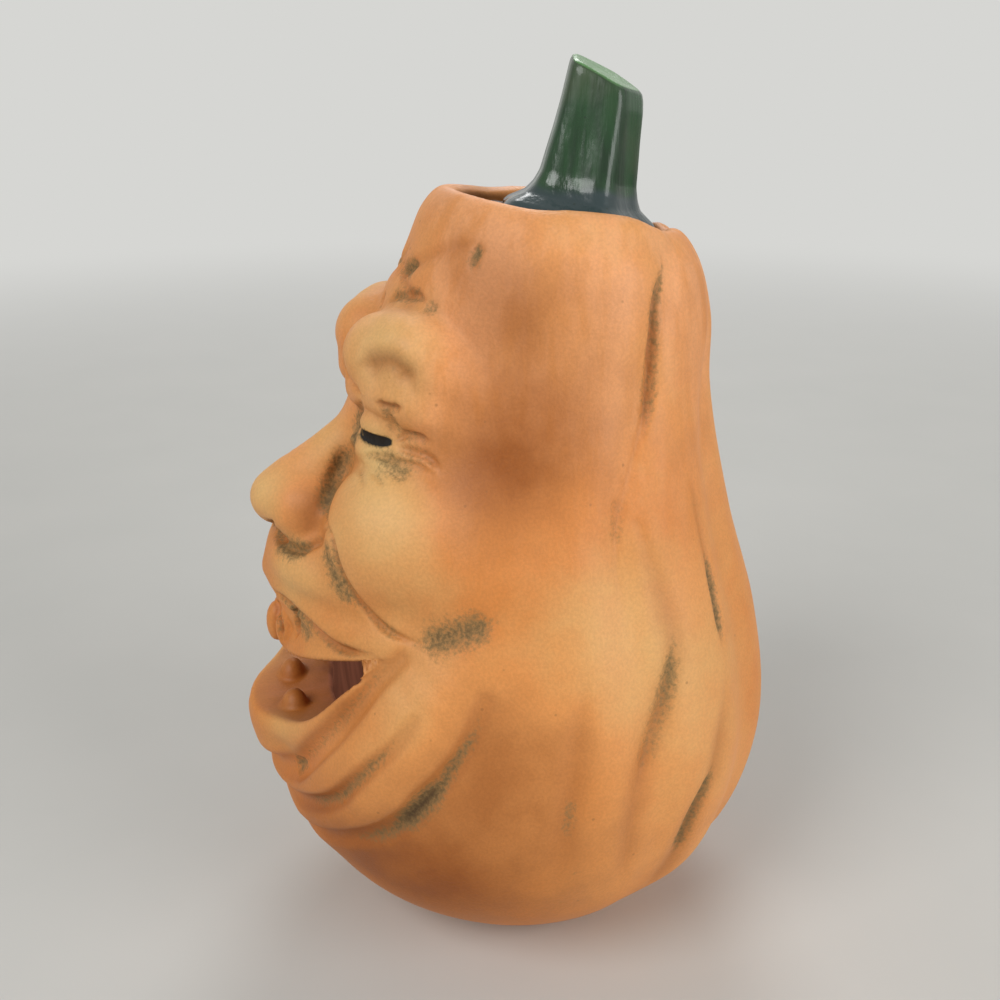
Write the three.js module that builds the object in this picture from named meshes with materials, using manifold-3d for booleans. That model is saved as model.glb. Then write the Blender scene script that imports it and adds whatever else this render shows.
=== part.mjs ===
// A jack-o-lantern candle holder: a hollow fired-clay gourd with a laughing face, a glazed stem
// that lifts off as its lid, and the tealight that burns inside.
// Millimetres, +Z up, the face looks along -Y, the origin is the middle of the foot.
import * as THREE from "three";
import { mergeVertices } from "three/addons/utils/BufferGeometryUtils.js";
import Module from "manifold-3d";

// The gourd
const footRadius = 24; // the flat that it stands on
const bellyRadius = 57;
const bellyHeight = 53;
const throatRadius = 45; // where the belly runs into the neck
const throatHeight = 111;
const neckRadius = 36.6;
const neckHeight = 142;
const crownHeight = 172; // the rim of the top opening, on its middle
const shoulderRise = 2.6; // the shoulder swells above the opening
const neckLean = 10.5; // degrees that the crown looks back
const bellyShift = -2.9; // the belly's middle lies this far along Y
const crownShift = 1.7;
const neckSway = 1.4; // forwards of a straight line between the two
const clayWall = 5;
const floorThickness = 8;
const slabRadius = 20; // the slab that closes the foot, where it stands on the table
const slabSpread = 8.5; // wider at its top
const slabGap = 0.3; // between the slab and the wall around it
const grooveDepth = 1.8; // between the ribs
const grooveWidth = 7; // degrees

// The top opening and the lid's seat
const tealightRoom = 0.9; // a tealight's clearance all round as it goes down the opening
const seatLedge = 2.4; // how far the bevelled seat reaches in from the rim
const seatDepth = 4;
const openingStretch = 1.3; // the opening is longer than wide, half on each side
const seatGap = 0.3; // between the lid and its seat

// The stem lid
const petalHeight = 3.4; // thickness of the flare's lobed edge
const petalRadius = 17;
const petalStandsIn = 5; // from the opening's edge, so that a vent stays open before and behind
const stemFootRadius = 11;
const stemFootHeight = 9.5; // above the rim
const stemTopRadius = 8.4;
const stemHeight = 33.5;
const stemShift = 3.6; // towards the back
const stemLobes = 5;
const spigotDepth = 4;
const spigotGap = 0.8;

// The tealight
const tealightDiameter = 38;
const cupHeight = 16;
const cupWall = 0.6;
const cupBead = 0.5; // the rolled edge stands out this far
const waxDepth = 12;
const waxGap = 0.3;
const wickDiameter = 1.5;
const wickAboveWax = 9;
const sustainerDiameter = 12;
const sustainerThickness = 0.5;
const collarHeight = 3;
const collarWall = 0.6;
const restGap = 0.3; // under a piece that stands on another

// The face
const mouthHalfWidth = 34;
const mouthCornerHeight = 86;
const mouthTopHeight = 74.5;
const mouthBottomHeight = 60;
const mouthCornerTurn = 6; // the lower edge turns up to the corner over this height
const mouthCutEnds = 20.5; // in front of the middle
const eyeAngle = 22;
const eyeSlitAt = 130.2;
const eyeSlitLength = 11;
const eyeSlitHeight = 2.2;
const lowerTooth = [4.2, 3.6, 6.4]; // half sizes
const lowerToothAngle = 7;
const lowerToothOut = 5; // from the gourd's skin
const lowerToothSink = 2; // its middle is under the mouth's edge
const faceReach = 40; // further out than any form of the face
const tableUnit = 1; // the lengths in the tables of grooves and forms are so many of these

const ringSides = 68;
const ringSteps = 48;
const hollowSides = 28;
const hollowSteps = 13;
const rad = Math.PI / 180;

const wasm = await Module();
wasm.setup();

function solidOf(geometry) {
  const bare = geometry.index ? geometry.toNonIndexed() : geometry.clone();
  bare.deleteAttribute("normal");
  bare.deleteAttribute("uv");
  const merged = mergeVertices(bare, 1e-4);
  const vertProperties = merged.attributes.position.array;
  const triVerts = new Uint32Array(merged.index.array);
  return new wasm.Manifold(new wasm.Mesh({ numProp: 3, vertProperties, triVerts }));
}

function geometryOf(solid) {
  const mesh = solid.getMesh();
  const geometry = new THREE.BufferGeometry();
  geometry.setAttribute("position", new THREE.BufferAttribute(mesh.vertProperties, 3));
  geometry.setIndex(new THREE.BufferAttribute(mesh.triVerts, 1));
  const flat = geometry.toNonIndexed();
  flat.computeVertexNormals();
  return flat;
}

// A closed skin through rings of points, each as long as the next, with a fan over both ends.
// The first half of each ring is split along the other diagonal, so that the two sides mirror.
function skin(rings) {
  const sides = rings[0].length;
  const points = rings.flat();
  const faces = [];
  for (let k = 0; k + 1 < rings.length; k++) {
    for (let i = 0; i < sides; i++) {
      const a = k * sides + i;
      const b = k * sides + ((i + 1) % sides);
      const [c, d] = [a + sides, b + sides];
      if (i < sides / 2) faces.push(a, b, c, b, d, c);
      else faces.push(a, b, d, a, d, c);
    }
  }
  for (const end of [0, rings.length - 1]) {
    const middle = new THREE.Vector3();
    rings[end].forEach((p) => middle.addScaledVector(p, 1 / sides));
    points.push(middle);
    for (let i = 0; i < sides; i++) {
      const a = end * sides + i;
      const b = end * sides + ((i + 1) % sides);
      faces.push(points.length - 1, end ? a : b, end ? b : a);
    }
  }
  const geometry = new THREE.BufferGeometry().setFromPoints(points);
  geometry.setIndex(faces);
  return geometry;
}

const lathe = (points, sides = 40) =>
  new THREE.LatheGeometry(points.map(([r, z]) => new THREE.Vector2(r, z)), sides).rotateX(Math.PI / 2);

// The gourd's half outline, from the foot to the rim: radius and height.
const outline = new THREE.CatmullRomCurve3(
  [
    [footRadius, 0],
    [footRadius + (bellyRadius - footRadius) * 0.22, bellyHeight * 0.11],
    [footRadius + (bellyRadius - footRadius) * 0.5, bellyHeight * 0.29],
    [footRadius + (bellyRadius - footRadius) * 0.81, bellyHeight * 0.53],
    [bellyRadius, bellyHeight],
    [throatRadius + (bellyRadius - throatRadius) * 0.72, (bellyHeight + throatHeight) / 2],
    [throatRadius, throatHeight],
    [neckRadius, neckHeight],
    [neckRadius * 0.96, neckHeight + (crownHeight - neckHeight) * 0.53],
    [neckRadius * 0.855, neckHeight + (crownHeight - neckHeight) * 0.93],
    [neckRadius * 0.72, crownHeight + shoulderRise],
    [neckRadius * 0.52, crownHeight],
  ].map(([r, z]) => new THREE.Vector3(r, 0, z)),
  false,
  "centripetal",
);

// Where the middle of the ring at a height lies, and how far the ring leans back.
const rise = (z) => THREE.MathUtils.smoothstep(z, bellyHeight, crownHeight);
const sway = (z) => neckSway * Math.sin(Math.PI * rise(z));
const shiftAt = (z) => THREE.MathUtils.lerp(bellyShift, crownShift, rise(z)) - sway(z);
const leanAt = (z) => neckLean * rad * rise(z);

// The grooves' angles from the face, on each side: [height, angle], and one down the back.
const grooves = [
  [[20, 108], [67, 103], [111, 97], [148, 108], [170, 121]],
  [[10, 134], [60, 138], [93, 139], [130, 141], [168, 158]],
  [[10, 180], [168, 180]],
];

function grooveAngle(groove, height) {
  const z = height / tableUnit;
  const next = groove.findIndex(([above]) => above > z);
  if (next < 1) return next ? groove.at(-1)[1] : groove[0][1];
  const [z0, a0] = groove[next - 1];
  const [z1, a1] = groove[next];
  return THREE.MathUtils.lerp(a0, a1, (z - z0) / (z1 - z0));
}

function grooveAt(angle, z) {
  const fade = THREE.MathUtils.smoothstep(z, 0.08 * bellyHeight, 0.57 * bellyHeight) * (1 - rise(z) ** 6 * 0.5);
  const turn = Math.abs(THREE.MathUtils.euclideanModulo(angle + 180, 360) - 180);
  const depths = grooves.map((groove) => {
    const away = (turn - grooveAngle(groove, z)) / grooveWidth;
    return Math.exp(-away * away);
  });
  return grooveDepth * fade * Math.max(...depths);
}

// The point of the gourd at an angle from the face and a height, out from the skin by some way.
function onGourd(angle, radius, z) {
  const across = radius * Math.sin(angle * rad);
  const along = -radius * Math.cos(angle * rad);
  const lean = leanAt(z);
  return new THREE.Vector3(across, shiftAt(z) + along * Math.cos(lean), z - along * Math.sin(lean));
}

function ring(radius, z, sides) {
  return Array.from({ length: sides }, (_, i) => onGourd((360 * i) / sides, radius, z));
}

// The outline moved in by the wall, and squared off at the floor.
function hollowProfile() {
  const points = [];
  for (let i = 0; i <= hollowSteps; i++) {
    const at = outline.getPointAt(i / hollowSteps);
    const along = outline.getTangentAt(i / hollowSteps);
    points.push([at.x - along.z * clayWall, at.z + along.x * clayWall]);
  }
  const above = points.filter(([, z]) => z > floorThickness + clayWall / 2);
  return [[above[0][0] * 0.78, floorThickness], ...above];
}

const hollowRings = hollowProfile().map(([r, z]) => ring(r, z, hollowSides));

// The face is modelled on the gourd in lumps and rolls of clay. Each stop of one is
// [angle from the face's middle, height, how far its middle stands out from the gourd's skin, radius];
// a lump has one stop and [half width, half depth, half height] in place of the radius.
// blend is how softly it runs into the clay around it, a paired one is repeated on the other side,
// and one marked cut is taken out of the clay, as the creases between the folds are.
const forms = [
  { name: "mask", stops: [[0, 128, -23.5, [31, 29, 31]]], blend: 12 },
  { name: "forehead", stops: [[0, 152, -24, [24, 25, 15]]], blend: 10 },
  { name: "jaw", stops: [[0, 66, -19, [42, 27, 34]]], blend: 12 },
  { name: "paunch", stops: [[0, 42, -43.5, [50, 50, 40]]], blend: 14 },
  { name: "cheek", paired: true, stops: [[28, 106, -7, [18.5, 18.5, 19.5]]], blend: 2.5 },
  { name: "cheek back", paired: true, stops: [[52, 104, -16, [17, 18, 18]]], blend: 12 },
  {
    name: "brow",
    paired: true,
    stops: [
      [15, 146, 5.6, 9.2], [30, 147, 3.6, 9.2], [44, 140, -2.2, 8],
    ],
    blend: 3,
  },
  {
    name: "hood",
    paired: true,
    stops: [
      [13, 139.4, 6.6, 6], [25, 140.2, 6.2, 6.6], [36, 138, 3, 6.6], [46, 133, -1.4, 5.6],
    ],
    blend: 2,
  },
  { name: "eyelid", paired: true, stops: [[21, 132.6, 4.6, [6.4, 5, 4.8]]], blend: 1 },
  {
    name: "lower lid",
    paired: true,
    stops: [
      [13, 126.6, 5.4, 3], [26, 125, 3.6, 3.2], [36, 126, 1.4, 3], [46, 129, -1, 2.4],
    ],
    blend: 2,
  },
  {
    name: "nose",
    stops: [
      [0, 138, -1, 5.2], [0, 127, 3, 5.8], [0, 120, 8, 6.4], [0, 114.5, 12.6, 7.4],
    ],
    blend: 3,
  },
  { name: "nose tip", stops: [[0, 111.5, 15.6, [8.6, 8.4, 7]]], blend: 3 },
  { name: "nostril", paired: true, stops: [[7.6, 110, 9.4, [6.4, 9.4, 7.6]]], blend: 4 },
  { name: "muzzle", stops: [[0, 98, -2.4, [24, 19, 10.5]]], blend: 3 },
  {
    name: "lip slope",
    paired: true,
    stops: [
      [8, 99, 6, 7], [24, 95.5, 0.6, 6.6], [38, 91, -2.6, 5],
    ],
    blend: 5,
  },
  {
    name: "upper lip",
    paired: true,
    stops: [
      [0, 93.6, 12.8, 3.4], [9, 91.6, 10, 3.4], [20, 89.3, 5.8, 3.2], [30, 88.4, 3, 3],
      [40, 88.4, 0.8, 2.6],
    ],
    blend: 3.5,
  },
  {
    name: "gum",
    paired: true,
    stops: [
      [0, 86, 7, 4.4], [10, 85.6, 4.8, 4.4], [20, 85, 1.2, 4.2], [30, 86, -0.8, 3.5],
      [37, 87, -1.8, 2.6],
    ],
    blend: 1,
  },
  { name: "middle tooth", stops: [[0, 79.2, 9.8, [3.3, 2.8, 5.4]]], blend: 0.8 },
  { name: "side tooth", paired: true, stops: [[5.8, 80.4, 8.2, [3.4, 2.8, 5.2]]], blend: 0.8 },
  {
    name: "jowl",
    paired: true,
    stops: [
      [62, 86, -9, 9], [50, 72, -5.4, 11.5], [38, 57, -3.6, 12.5], [22, 45, -3, 12.5],
      [0, 39, -3, 12.5],
    ],
    blend: 8,
  },
  {
    name: "lower lip",
    paired: true,
    stops: [
      [0, 57.5, 10, 4.8], [7, 58, 9.2, 4.6], [18, 60.8, 4.8, 4.3], [27, 68, 2.8, 3.8],
      [34, 76, 1.6, 3.3], [41, 84.6, -0.2, 2.8],
    ],
    blend: 2.5,
  },
  { name: "chin", stops: [[0, 48, -5.5, [20, 19, 13]]], blend: 5 },
  { name: "lip front", stops: [[0, 54, 2.5, [14, 12, 11]]], blend: 5 },
  {
    name: "lip groove",
    paired: true,
    cut: true,
    stops: [
      [45, 87.5, 3.5, 0.8], [43, 85, 4.2, 1.4], [40.6, 82, 5.2, 1.9], [37.2, 75.8, 7.1, 2.4],
      [32.3, 68.2, 8.3, 2.8], [26.1, 60.1, 8.5, 3], [19.7, 52.4, 8.8, 3], [10, 46.5, 11.8, 2.4],
      [0, 45, 14.1, 2.2],
    ],
    blend: 2.5,
  },
  {
    name: "middle fold",
    paired: true,
    cut: true,
    stops: [
      [51.5, 77.5, 7.1, 0.7], [48, 71, 8, 1.2], [42.7, 64, 9, 1.6], [38.8, 58.5, 9.3, 1.8],
      [35.8, 54.5, 9.4, 2], [30.8, 50, 9.6, 2], [20.2, 43.6, 10.4, 1.8], [10, 39.5, 11.3, 1.6],
      [0, 38, 12.1, 1.5],
    ],
    blend: 2.2,
  },
  {
    name: "low fold",
    paired: true,
    cut: true,
    stops: [
      [65.5, 82, 2.7, 0.8], [62.4, 72.7, 2.8, 1.4], [58.2, 64.8, 3.3, 1.9], [53.3, 58.5, 4.4, 2.2],
      [50.2, 53.5, 5, 2.4], [45.3, 48.6, 6.4, 2.4], [38.5, 43.8, 8.1, 2.2], [29.9, 39, 9.8, 2],
      [15, 33.5, 11.1, 1.6], [0, 31.5, 11.9, 1.4],
    ],
    blend: 2.6,
  },
];

function skinRadius(z) {
  return outlineRadii.find(([height]) => height >= z)[1];
}

function formPoint([angle, z, out]) {
  const middle = skinRadius(z) + out;
  const x = middle * Math.sin(angle * rad);
  return new THREE.Vector3(x, shiftAt(z) - middle * Math.cos(angle * rad), z);
}

const outlineRadii = outline.getSpacedPoints(200).map((p) => [p.z, p.x]);
outlineRadii.push([Infinity, 0]);
const inUnits = (length) => (Array.isArray(length) ? length.map(inUnits) : length * tableUnit);
const curveSteps = 4; // from one stop of a roll to the next

// A roll runs through its stops in one smooth curve.
function clayOf({ stops, blend, paired, cut }) {
  const clay = { blend: inUnits(blend), paired, cut, turn: stops[0][0] * rad };
  clay.middles = stops.map(([angle, z, out]) => formPoint([angle, inUnits(z), inUnits(out)]));
  clay.radii = stops.map((stop) => inUnits(stop[3]));
  if (stops.length < 3) return clay;
  const steps = curveSteps * (stops.length - 1);
  const at = (i) => Math.min(Math.floor(i / curveSteps), stops.length - 2);
  const { middles, radii } = clay;
  clay.middles = new THREE.CatmullRomCurve3(middles, false, "catmullrom", 0.5).getPoints(steps);
  clay.radii = clay.middles.map((_, i) =>
    THREE.MathUtils.lerp(radii[at(i)], radii[at(i) + 1], i / curveSteps - at(i)),
  );
  return clay;
}

const clays = forms.map(clayOf);

// Distance from a point to a lump or a roll, near enough for shaping: negative inside.
const line = new THREE.Line3();
const near = new THREE.Vector3();

function lumpDistance(point, { middles, radii, turn }) {
  near.subVectors(point, middles[0]).applyAxisAngle(new THREE.Vector3(0, 0, 1), -turn);
  const [width, depth, height] = radii[0];
  near.set(near.x / width, near.y / depth, near.z / height);
  const reach = near.length();
  near.set(near.x / width, near.y / depth, near.z / height);
  return (reach * (reach - 1)) / near.length();
}

function rollDistance(point, { middles, radii }) {
  const distances = middles.slice(1).map((end, i) => {
    line.set(middles[i], end);
    const t = line.closestPointToPointParameter(point, true);
    line.at(t, near);
    return near.distanceTo(point) - THREE.MathUtils.lerp(radii[i], radii[i + 1], t);
  });
  return Math.min(...distances);
}

function softJoin(a, b, blend) {
  const mix = Math.max(blend - Math.abs(a - b), 0) / blend;
  return Math.min(a, b) - (mix * mix * blend) / 4;
}

function clayDistance(point, skinDistance) {
  const folded = new THREE.Vector3(Math.abs(point.x), point.y, point.z);
  return clays.reduce((distance, clay) => {
    const at = clay.paired ? folded : point;
    const own = clay.middles.length > 1 ? rollDistance(at, clay) : lumpDistance(at, clay);
    return clay.cut ? -softJoin(-distance, own, clay.blend) : softJoin(distance, own, clay.blend);
  }, skinDistance);
}

// Each point of the outside is found by coming in from well outside, along the spoke of its ring.
function outside(angle, radius, z) {
  const hub = onGourd(angle, 0, z);
  const spoke = onGourd(angle, 1, z).sub(hub);
  const skinAt = radius - grooveAt(angle, z);
  let reach = skinAt + faceReach;
  for (let step = 0; step < 60; step++) {
    const point = hub.clone().addScaledVector(spoke, reach);
    const distance = clayDistance(point, reach - skinAt);
    if (distance < 0.01) break;
    reach -= distance * 0.85;
  }
  return hub.addScaledVector(spoke, reach);
}

// The spokes stand closer together across the face than down the back.
function bodyRings() {
  const faceAngle = (i) => {
    const turn = (2 * i) / ringSides - 1;
    return 180 * (turn - 0.17 * Math.sin(Math.PI * turn));
  };
  return outline.getSpacedPoints(ringSteps).map((p) =>
    Array.from({ length: ringSides }, (_, i) => outside(faceAngle(i), p.x, p.z)),
  );
}

function lump(middle, half, turn, sides) {
  const geometry = new THREE.SphereGeometry(1, sides, Math.round(sides * 0.7));
  geometry.scale(...half);
  geometry.rotateZ(turn);
  geometry.translate(...middle);
  return solidOf(geometry);
}

const both = (solid) => solid.add(solid.mirror([1, 0, 0]));

// The hollow reaches into the cheeks and the chin, so the wall stays a wall there.
function faceHollow() {
  const hollows = ["cheek", "chin"].map((name) => {
    const { middles, radii, turn } = clays[forms.findIndex((form) => form.name === name)];
    return lump(middles[0], radii[0].map((r) => r - clayWall), turn, 14);
  });
  return hollows.map(both).reduce((all, piece) => all.add(piece));
}

// Two teeth stand up behind the lower lip.
function lowerTeeth() {
  const middle = formPoint([lowerToothAngle, mouthBottomHeight - lowerToothSink, lowerToothOut]);
  return both(lump(middle, lowerTooth, 0, 10));
}

// The laughing mouth: a crescent cut straight back through the front wall.
function mouthCut() {
  const half = mouthHalfWidth;
  const shape = new THREE.Shape();
  shape.moveTo(-half, mouthCornerHeight);
  const pull = (4 * mouthTopHeight - mouthCornerHeight) / 3;
  shape.bezierCurveTo(0, pull, 0, pull, half, mouthCornerHeight);
  shape.bezierCurveTo(
    half * 0.85,
    mouthBottomHeight + mouthCornerTurn,
    half * 0.55,
    mouthBottomHeight,
    0,
    mouthBottomHeight,
  );
  shape.bezierCurveTo(
    -half * 0.55,
    mouthBottomHeight,
    -half * 0.85,
    mouthBottomHeight + mouthCornerTurn,
    -half,
    mouthCornerHeight,
  );
  const depth = bellyRadius;
  const geometry = new THREE.ExtrudeGeometry(shape, { depth, bevelEnabled: false, curveSegments: 8 });
  geometry.rotateX(Math.PI / 2);
  geometry.translate(0, -mouthCutEnds, 0);
  return solidOf(geometry);
}

// A narrow slit under the eyelid, cut towards the middle of the neck.
function eyeCut() {
  const geometry = new THREE.CylinderGeometry(1, 1, 6 * clayWall, 12);
  geometry.scale(eyeSlitLength / 2, 1, eyeSlitHeight / 2);
  geometry.rotateZ(eyeAngle * rad);
  geometry.translate(...formPoint([eyeAngle, eyeSlitAt, 0]));
  return solidOf(geometry);
}

// The opening's own frame: its middle is on the rim, and its Z is the way that the lid lifts.
const openingFrame = new THREE.Matrix4()
  .makeTranslation(0, crownShift, crownHeight)
  .multiply(new THREE.Matrix4().makeRotationX(-neckLean * rad));

const passHalf = tealightDiameter / 2 + tealightRoom;
const rimHalf = passHalf + seatLedge;

function oval(half, z, less = 0, sides = 40) {
  return Array.from({ length: sides }, (_, i) => {
    const turn = (2 * Math.PI * i) / sides;
    const x = (half - less) * Math.cos(turn);
    return new THREE.Vector3(x, (half + openingStretch - less) * Math.sin(turn), z);
  });
}

function openingCut() {
  const clear = 3 * clayWall;
  return solidOf(
    skin([oval(passHalf, -clear), oval(passHalf, -seatDepth), oval(rimHalf, 0), oval(rimHalf, clear)])
      .applyMatrix4(openingFrame),
  );
}

// The foot is closed by a slab with a slanted edge, which is also the floor that the tealight stands on.
function footSlab(gap, spare) {
  const slant = slabSpread / floorThickness;
  const profile = [
    [0, -spare],
    [slabRadius + gap - slant * spare, -spare],
    [slabRadius + gap + slant * (floorThickness + spare), floorThickness + spare],
    [0, floorThickness + spare],
  ];
  return lathe(profile, ringSides).translate(0, shiftAt(0), 0);
}

function pumpkinShell() {
  const cuts = [
    solidOf(skin(hollowRings)),
    solidOf(footSlab(slabGap, 0.5)),
    faceHollow(),
    mouthCut(),
    both(eyeCut()),
    openingCut(),
  ];
  return cuts.reduce((left, cut) => left.subtract(cut), solidOf(skin(bodyRings()))).add(lowerTeeth());
}

// The lid: a plate that bears on the bevel at its two sides, a spigot under it, and the stem over it.
function stemRing(radius, z, lobe, shift, slope = 0, sides = 40) {
  return Array.from({ length: sides }, (_, i) => {
    const turn = (2 * Math.PI * i) / sides;
    const out = radius * (1 + lobe * Math.cos(stemLobes * turn - 0.6));
    const y = out * Math.sin(turn);
    const x = out * Math.cos(turn);
    return new THREE.Vector3(x, y + shift, z - slope * y - slope * x);
  });
}

function stemLid() {
  const plateFront = rimHalf + openingStretch - petalStandsIn;
  const top = stemHeight - 2;
  const stem = solidOf(
    skin([
      stemRing(petalRadius * 0.86, -seatDepth / 2, 0.06, stemShift - 1),
      stemRing(petalRadius, 0.4, 0.07, stemShift - 1),
      stemRing(petalRadius * 0.97, petalHeight * 0.6, 0.07, stemShift - 1),
      stemRing(petalRadius * 0.84, petalHeight, 0.07, stemShift - 0.8),
      stemRing((petalRadius + stemFootRadius) * 0.46, (petalHeight + stemFootHeight) * 0.48, 0.07, stemShift),
      stemRing(stemFootRadius, stemFootHeight, 0.07, stemShift),
      stemRing((stemFootRadius + stemTopRadius) / 2, (stemFootHeight + top) / 2, 0.06, stemShift),
      stemRing(stemTopRadius, top - 1, 0.05, stemShift - 0.3, 0.22),
      stemRing(stemTopRadius * 0.86, top, 0.05, stemShift - 0.3, 0.25),
    ]),
  );
  const plate = solidOf(
    skin([
      oval(passHalf, -seatDepth, seatGap),
      oval(rimHalf, 0, seatGap),
    ]),
  );
  const spigot = solidOf(
    skin([oval(passHalf, -seatDepth - spigotDepth, spigotGap), oval(passHalf, -seatDepth + 0.5, spigotGap)]),
  );
  const slab = new THREE.BoxGeometry(3 * rimHalf, 2 * plateFront - petalStandsIn, 2 * stemHeight);
  slab.translate(0, stemShift - 1, 0);
  const seat = plate.add(spigot).intersect(solidOf(slab));
  return seat.add(stem);
}

// The tealight stands on the floor.
const cupBottom = floorThickness + restGap;
const cupRadius = tealightDiameter / 2;
const waxBottom = cupBottom + cupWall + sustainerThickness + 2 * restGap;
const waxTop = waxBottom + waxDepth;
const wickRadius = wickDiameter / 2;
const collarRadius = wickRadius + waxGap + collarWall;
const sustainerBottom = cupBottom + cupWall + restGap;

function tealightCup() {
  const top = cupBottom + cupHeight;
  return lathe([
    [0, cupBottom],
    [cupRadius - 1, cupBottom],
    [cupRadius, cupBottom + 1],
    [cupRadius, top - 2 * cupBead],
    [cupRadius + cupBead, top - cupBead],
    [cupRadius, top],
    [cupRadius - cupWall, top],
    [cupRadius - cupWall, cupBottom + 1.2],
    [cupRadius - cupWall - 0.8, cupBottom + cupWall],
    [0, cupBottom + cupWall],
  ]);
}

function tealightWax() {
  const out = cupRadius - cupWall - waxGap;
  const bore = wickRadius + waxGap;
  const collarBore = collarRadius + waxGap;
  const collarTop = sustainerBottom + sustainerThickness + collarHeight + restGap;
  const profile = [
    [collarBore, waxBottom],
    [out - 1, waxBottom],
    [out, waxBottom + 1],
    [out, waxTop],
    [out - 1, waxTop - 0.3],
    [bore + 3, waxTop - 0.5],
    [bore, waxTop - 0.2],
    [bore, collarTop],
    [collarBore, collarTop],
  ];
  return lathe([...profile, profile[0]]);
}

function wickSustainer() {
  const bore = wickRadius + waxGap;
  const floor = sustainerBottom + sustainerThickness;
  return lathe([
    [0, sustainerBottom],
    [sustainerDiameter / 2, sustainerBottom],
    [sustainerDiameter / 2, floor],
    [collarRadius, floor],
    [collarRadius, floor + collarHeight],
    [bore, floor + collarHeight],
    [bore, floor],
    [0, floor],
  ], 24);
}

function tealightWick() {
  const bottom = sustainerBottom + sustainerThickness + restGap;
  const top = waxTop + wickAboveWax;
  return lathe([
    [0, bottom],
    [wickRadius, bottom],
    [wickRadius, top - 0.5],
    [wickRadius * 0.6, top],
    [0, top],
  ], 12);
}

const terracotta = new THREE.MeshStandardMaterial({ color: 0xd98a4e, roughness: 0.75, metalness: 0 });
const greenGlaze = new THREE.MeshStandardMaterial({ color: 0x23452c, roughness: 0.15, metalness: 0 });
const foil = new THREE.MeshStandardMaterial({ color: 0xc9cbcd, roughness: 0.3, metalness: 1 });
const wax = new THREE.MeshStandardMaterial({ color: 0xf1ead9, roughness: 0.45, metalness: 0 });
const tinplate = new THREE.MeshStandardMaterial({ color: 0xb4b6b8, roughness: 0.35, metalness: 1 });
const cotton = new THREE.MeshStandardMaterial({ color: 0xe9e4d6, roughness: 0.9, metalness: 0 });

function named(name, geometry, material) {
  const mesh = new THREE.Mesh(geometry, material);
  mesh.name = name;
  return mesh;
}

const holder = new THREE.Group();
holder.add(named("pumpkin_shell", geometryOf(pumpkinShell()), terracotta));
holder.add(named("pumpkin_foot", footSlab(0, 0), terracotta));

const opening = new THREE.Group();
openingFrame.decompose(opening.position, opening.quaternion, opening.scale);
opening.add(named("stem_lid", geometryOf(stemLid()), greenGlaze));
holder.add(opening);

const tealight = new THREE.Group();
tealight.add(named("tealight_cup", tealightCup(), foil));
tealight.add(named("tealight_wax", tealightWax(), wax));
tealight.add(named("wick_sustainer", wickSustainer(), tinplate));
tealight.add(named("tealight_wick", tealightWick(), cotton));
holder.add(tealight);

export default holder;
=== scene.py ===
import math

import bmesh
import bpy
import numpy as np
from mathutils import Matrix, Vector


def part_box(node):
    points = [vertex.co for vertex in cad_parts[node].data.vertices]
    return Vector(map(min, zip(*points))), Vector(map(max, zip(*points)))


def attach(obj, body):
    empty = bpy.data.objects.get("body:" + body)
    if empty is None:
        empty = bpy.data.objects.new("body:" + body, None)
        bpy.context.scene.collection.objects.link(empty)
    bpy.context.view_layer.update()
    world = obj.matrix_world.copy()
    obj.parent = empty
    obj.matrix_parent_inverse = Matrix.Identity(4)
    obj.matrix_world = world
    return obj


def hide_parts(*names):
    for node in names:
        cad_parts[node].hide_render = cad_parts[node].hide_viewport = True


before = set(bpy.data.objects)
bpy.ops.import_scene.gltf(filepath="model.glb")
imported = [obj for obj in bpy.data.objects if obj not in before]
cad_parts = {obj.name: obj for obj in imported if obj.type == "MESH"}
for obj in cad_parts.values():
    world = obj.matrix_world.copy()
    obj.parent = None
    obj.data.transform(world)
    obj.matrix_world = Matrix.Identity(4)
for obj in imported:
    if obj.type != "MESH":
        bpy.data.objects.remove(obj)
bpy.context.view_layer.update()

# A jack-o-lantern candle holder: fired clay gourd, glazed stem lid, tealight.
# Clay is worked in millimetres; everything that leaves this script is in metres.
mm = 0.001
touching = 0.001 * mm  # points nearer than this are one


# Colours as a maker reads them off a swatch, 0 to 255
def swatch(red, green, blue):
    def light(level):
        level /= 255
        return level / 12.92 if level <= 0.04045 else ((level + 0.055) / 1.055) ** 2.4
    return light(red), light(green), light(blue), 1.0


def intoScene(name, data):
    thing = bpy.data.objects.new(name, data)
    bpy.context.scene.collection.objects.link(thing)
    return thing


# View
shot = {
    "eye": (0.2420, -0.0637, 0.2035),
    "azimuth": 78.0,  # degrees round the gourd, 0 looks it in the face
    "pitch": 21.5,  # degrees down
    "lens": 39.6,
    "sensor": 36.0,
    "side": 1000,  # the picture is square, so many pixels wide
}


def addCamera():
    data = bpy.data.cameras.new("viewpoint")
    data.sensor_width = shot["sensor"]
    data.lens = shot["lens"]
    data.clip_start = 0.01
    camera = intoScene("viewpoint", data)
    camera.location = shot["eye"]
    camera.rotation_euler = (math.radians(90 - shot["pitch"]), 0, math.radians(shot["azimuth"]))
    bpy.context.scene.camera = camera


# The line of sight through a place in the picture, in millimetres
def sightLine(across, down):
    pitch, turn = math.radians(shot["pitch"]), math.radians(shot["azimuth"])
    ahead = np.array([-math.sin(turn), math.cos(turn), 0])
    right = np.array([math.cos(turn), math.sin(turn), 0])
    up = ahead * math.sin(pitch) + np.array([0, 0, math.cos(pitch)])
    forward = ahead * math.cos(pitch) - np.array([0, 0, math.sin(pitch)])
    focal = shot["lens"] / shot["sensor"] * shot["side"]
    middle = shot["side"] / 2
    way = forward + right * (across - middle) / focal + up * (middle - down) / focal
    return np.array(shot["eye"]) / mm, way / np.linalg.norm(way)


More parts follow.
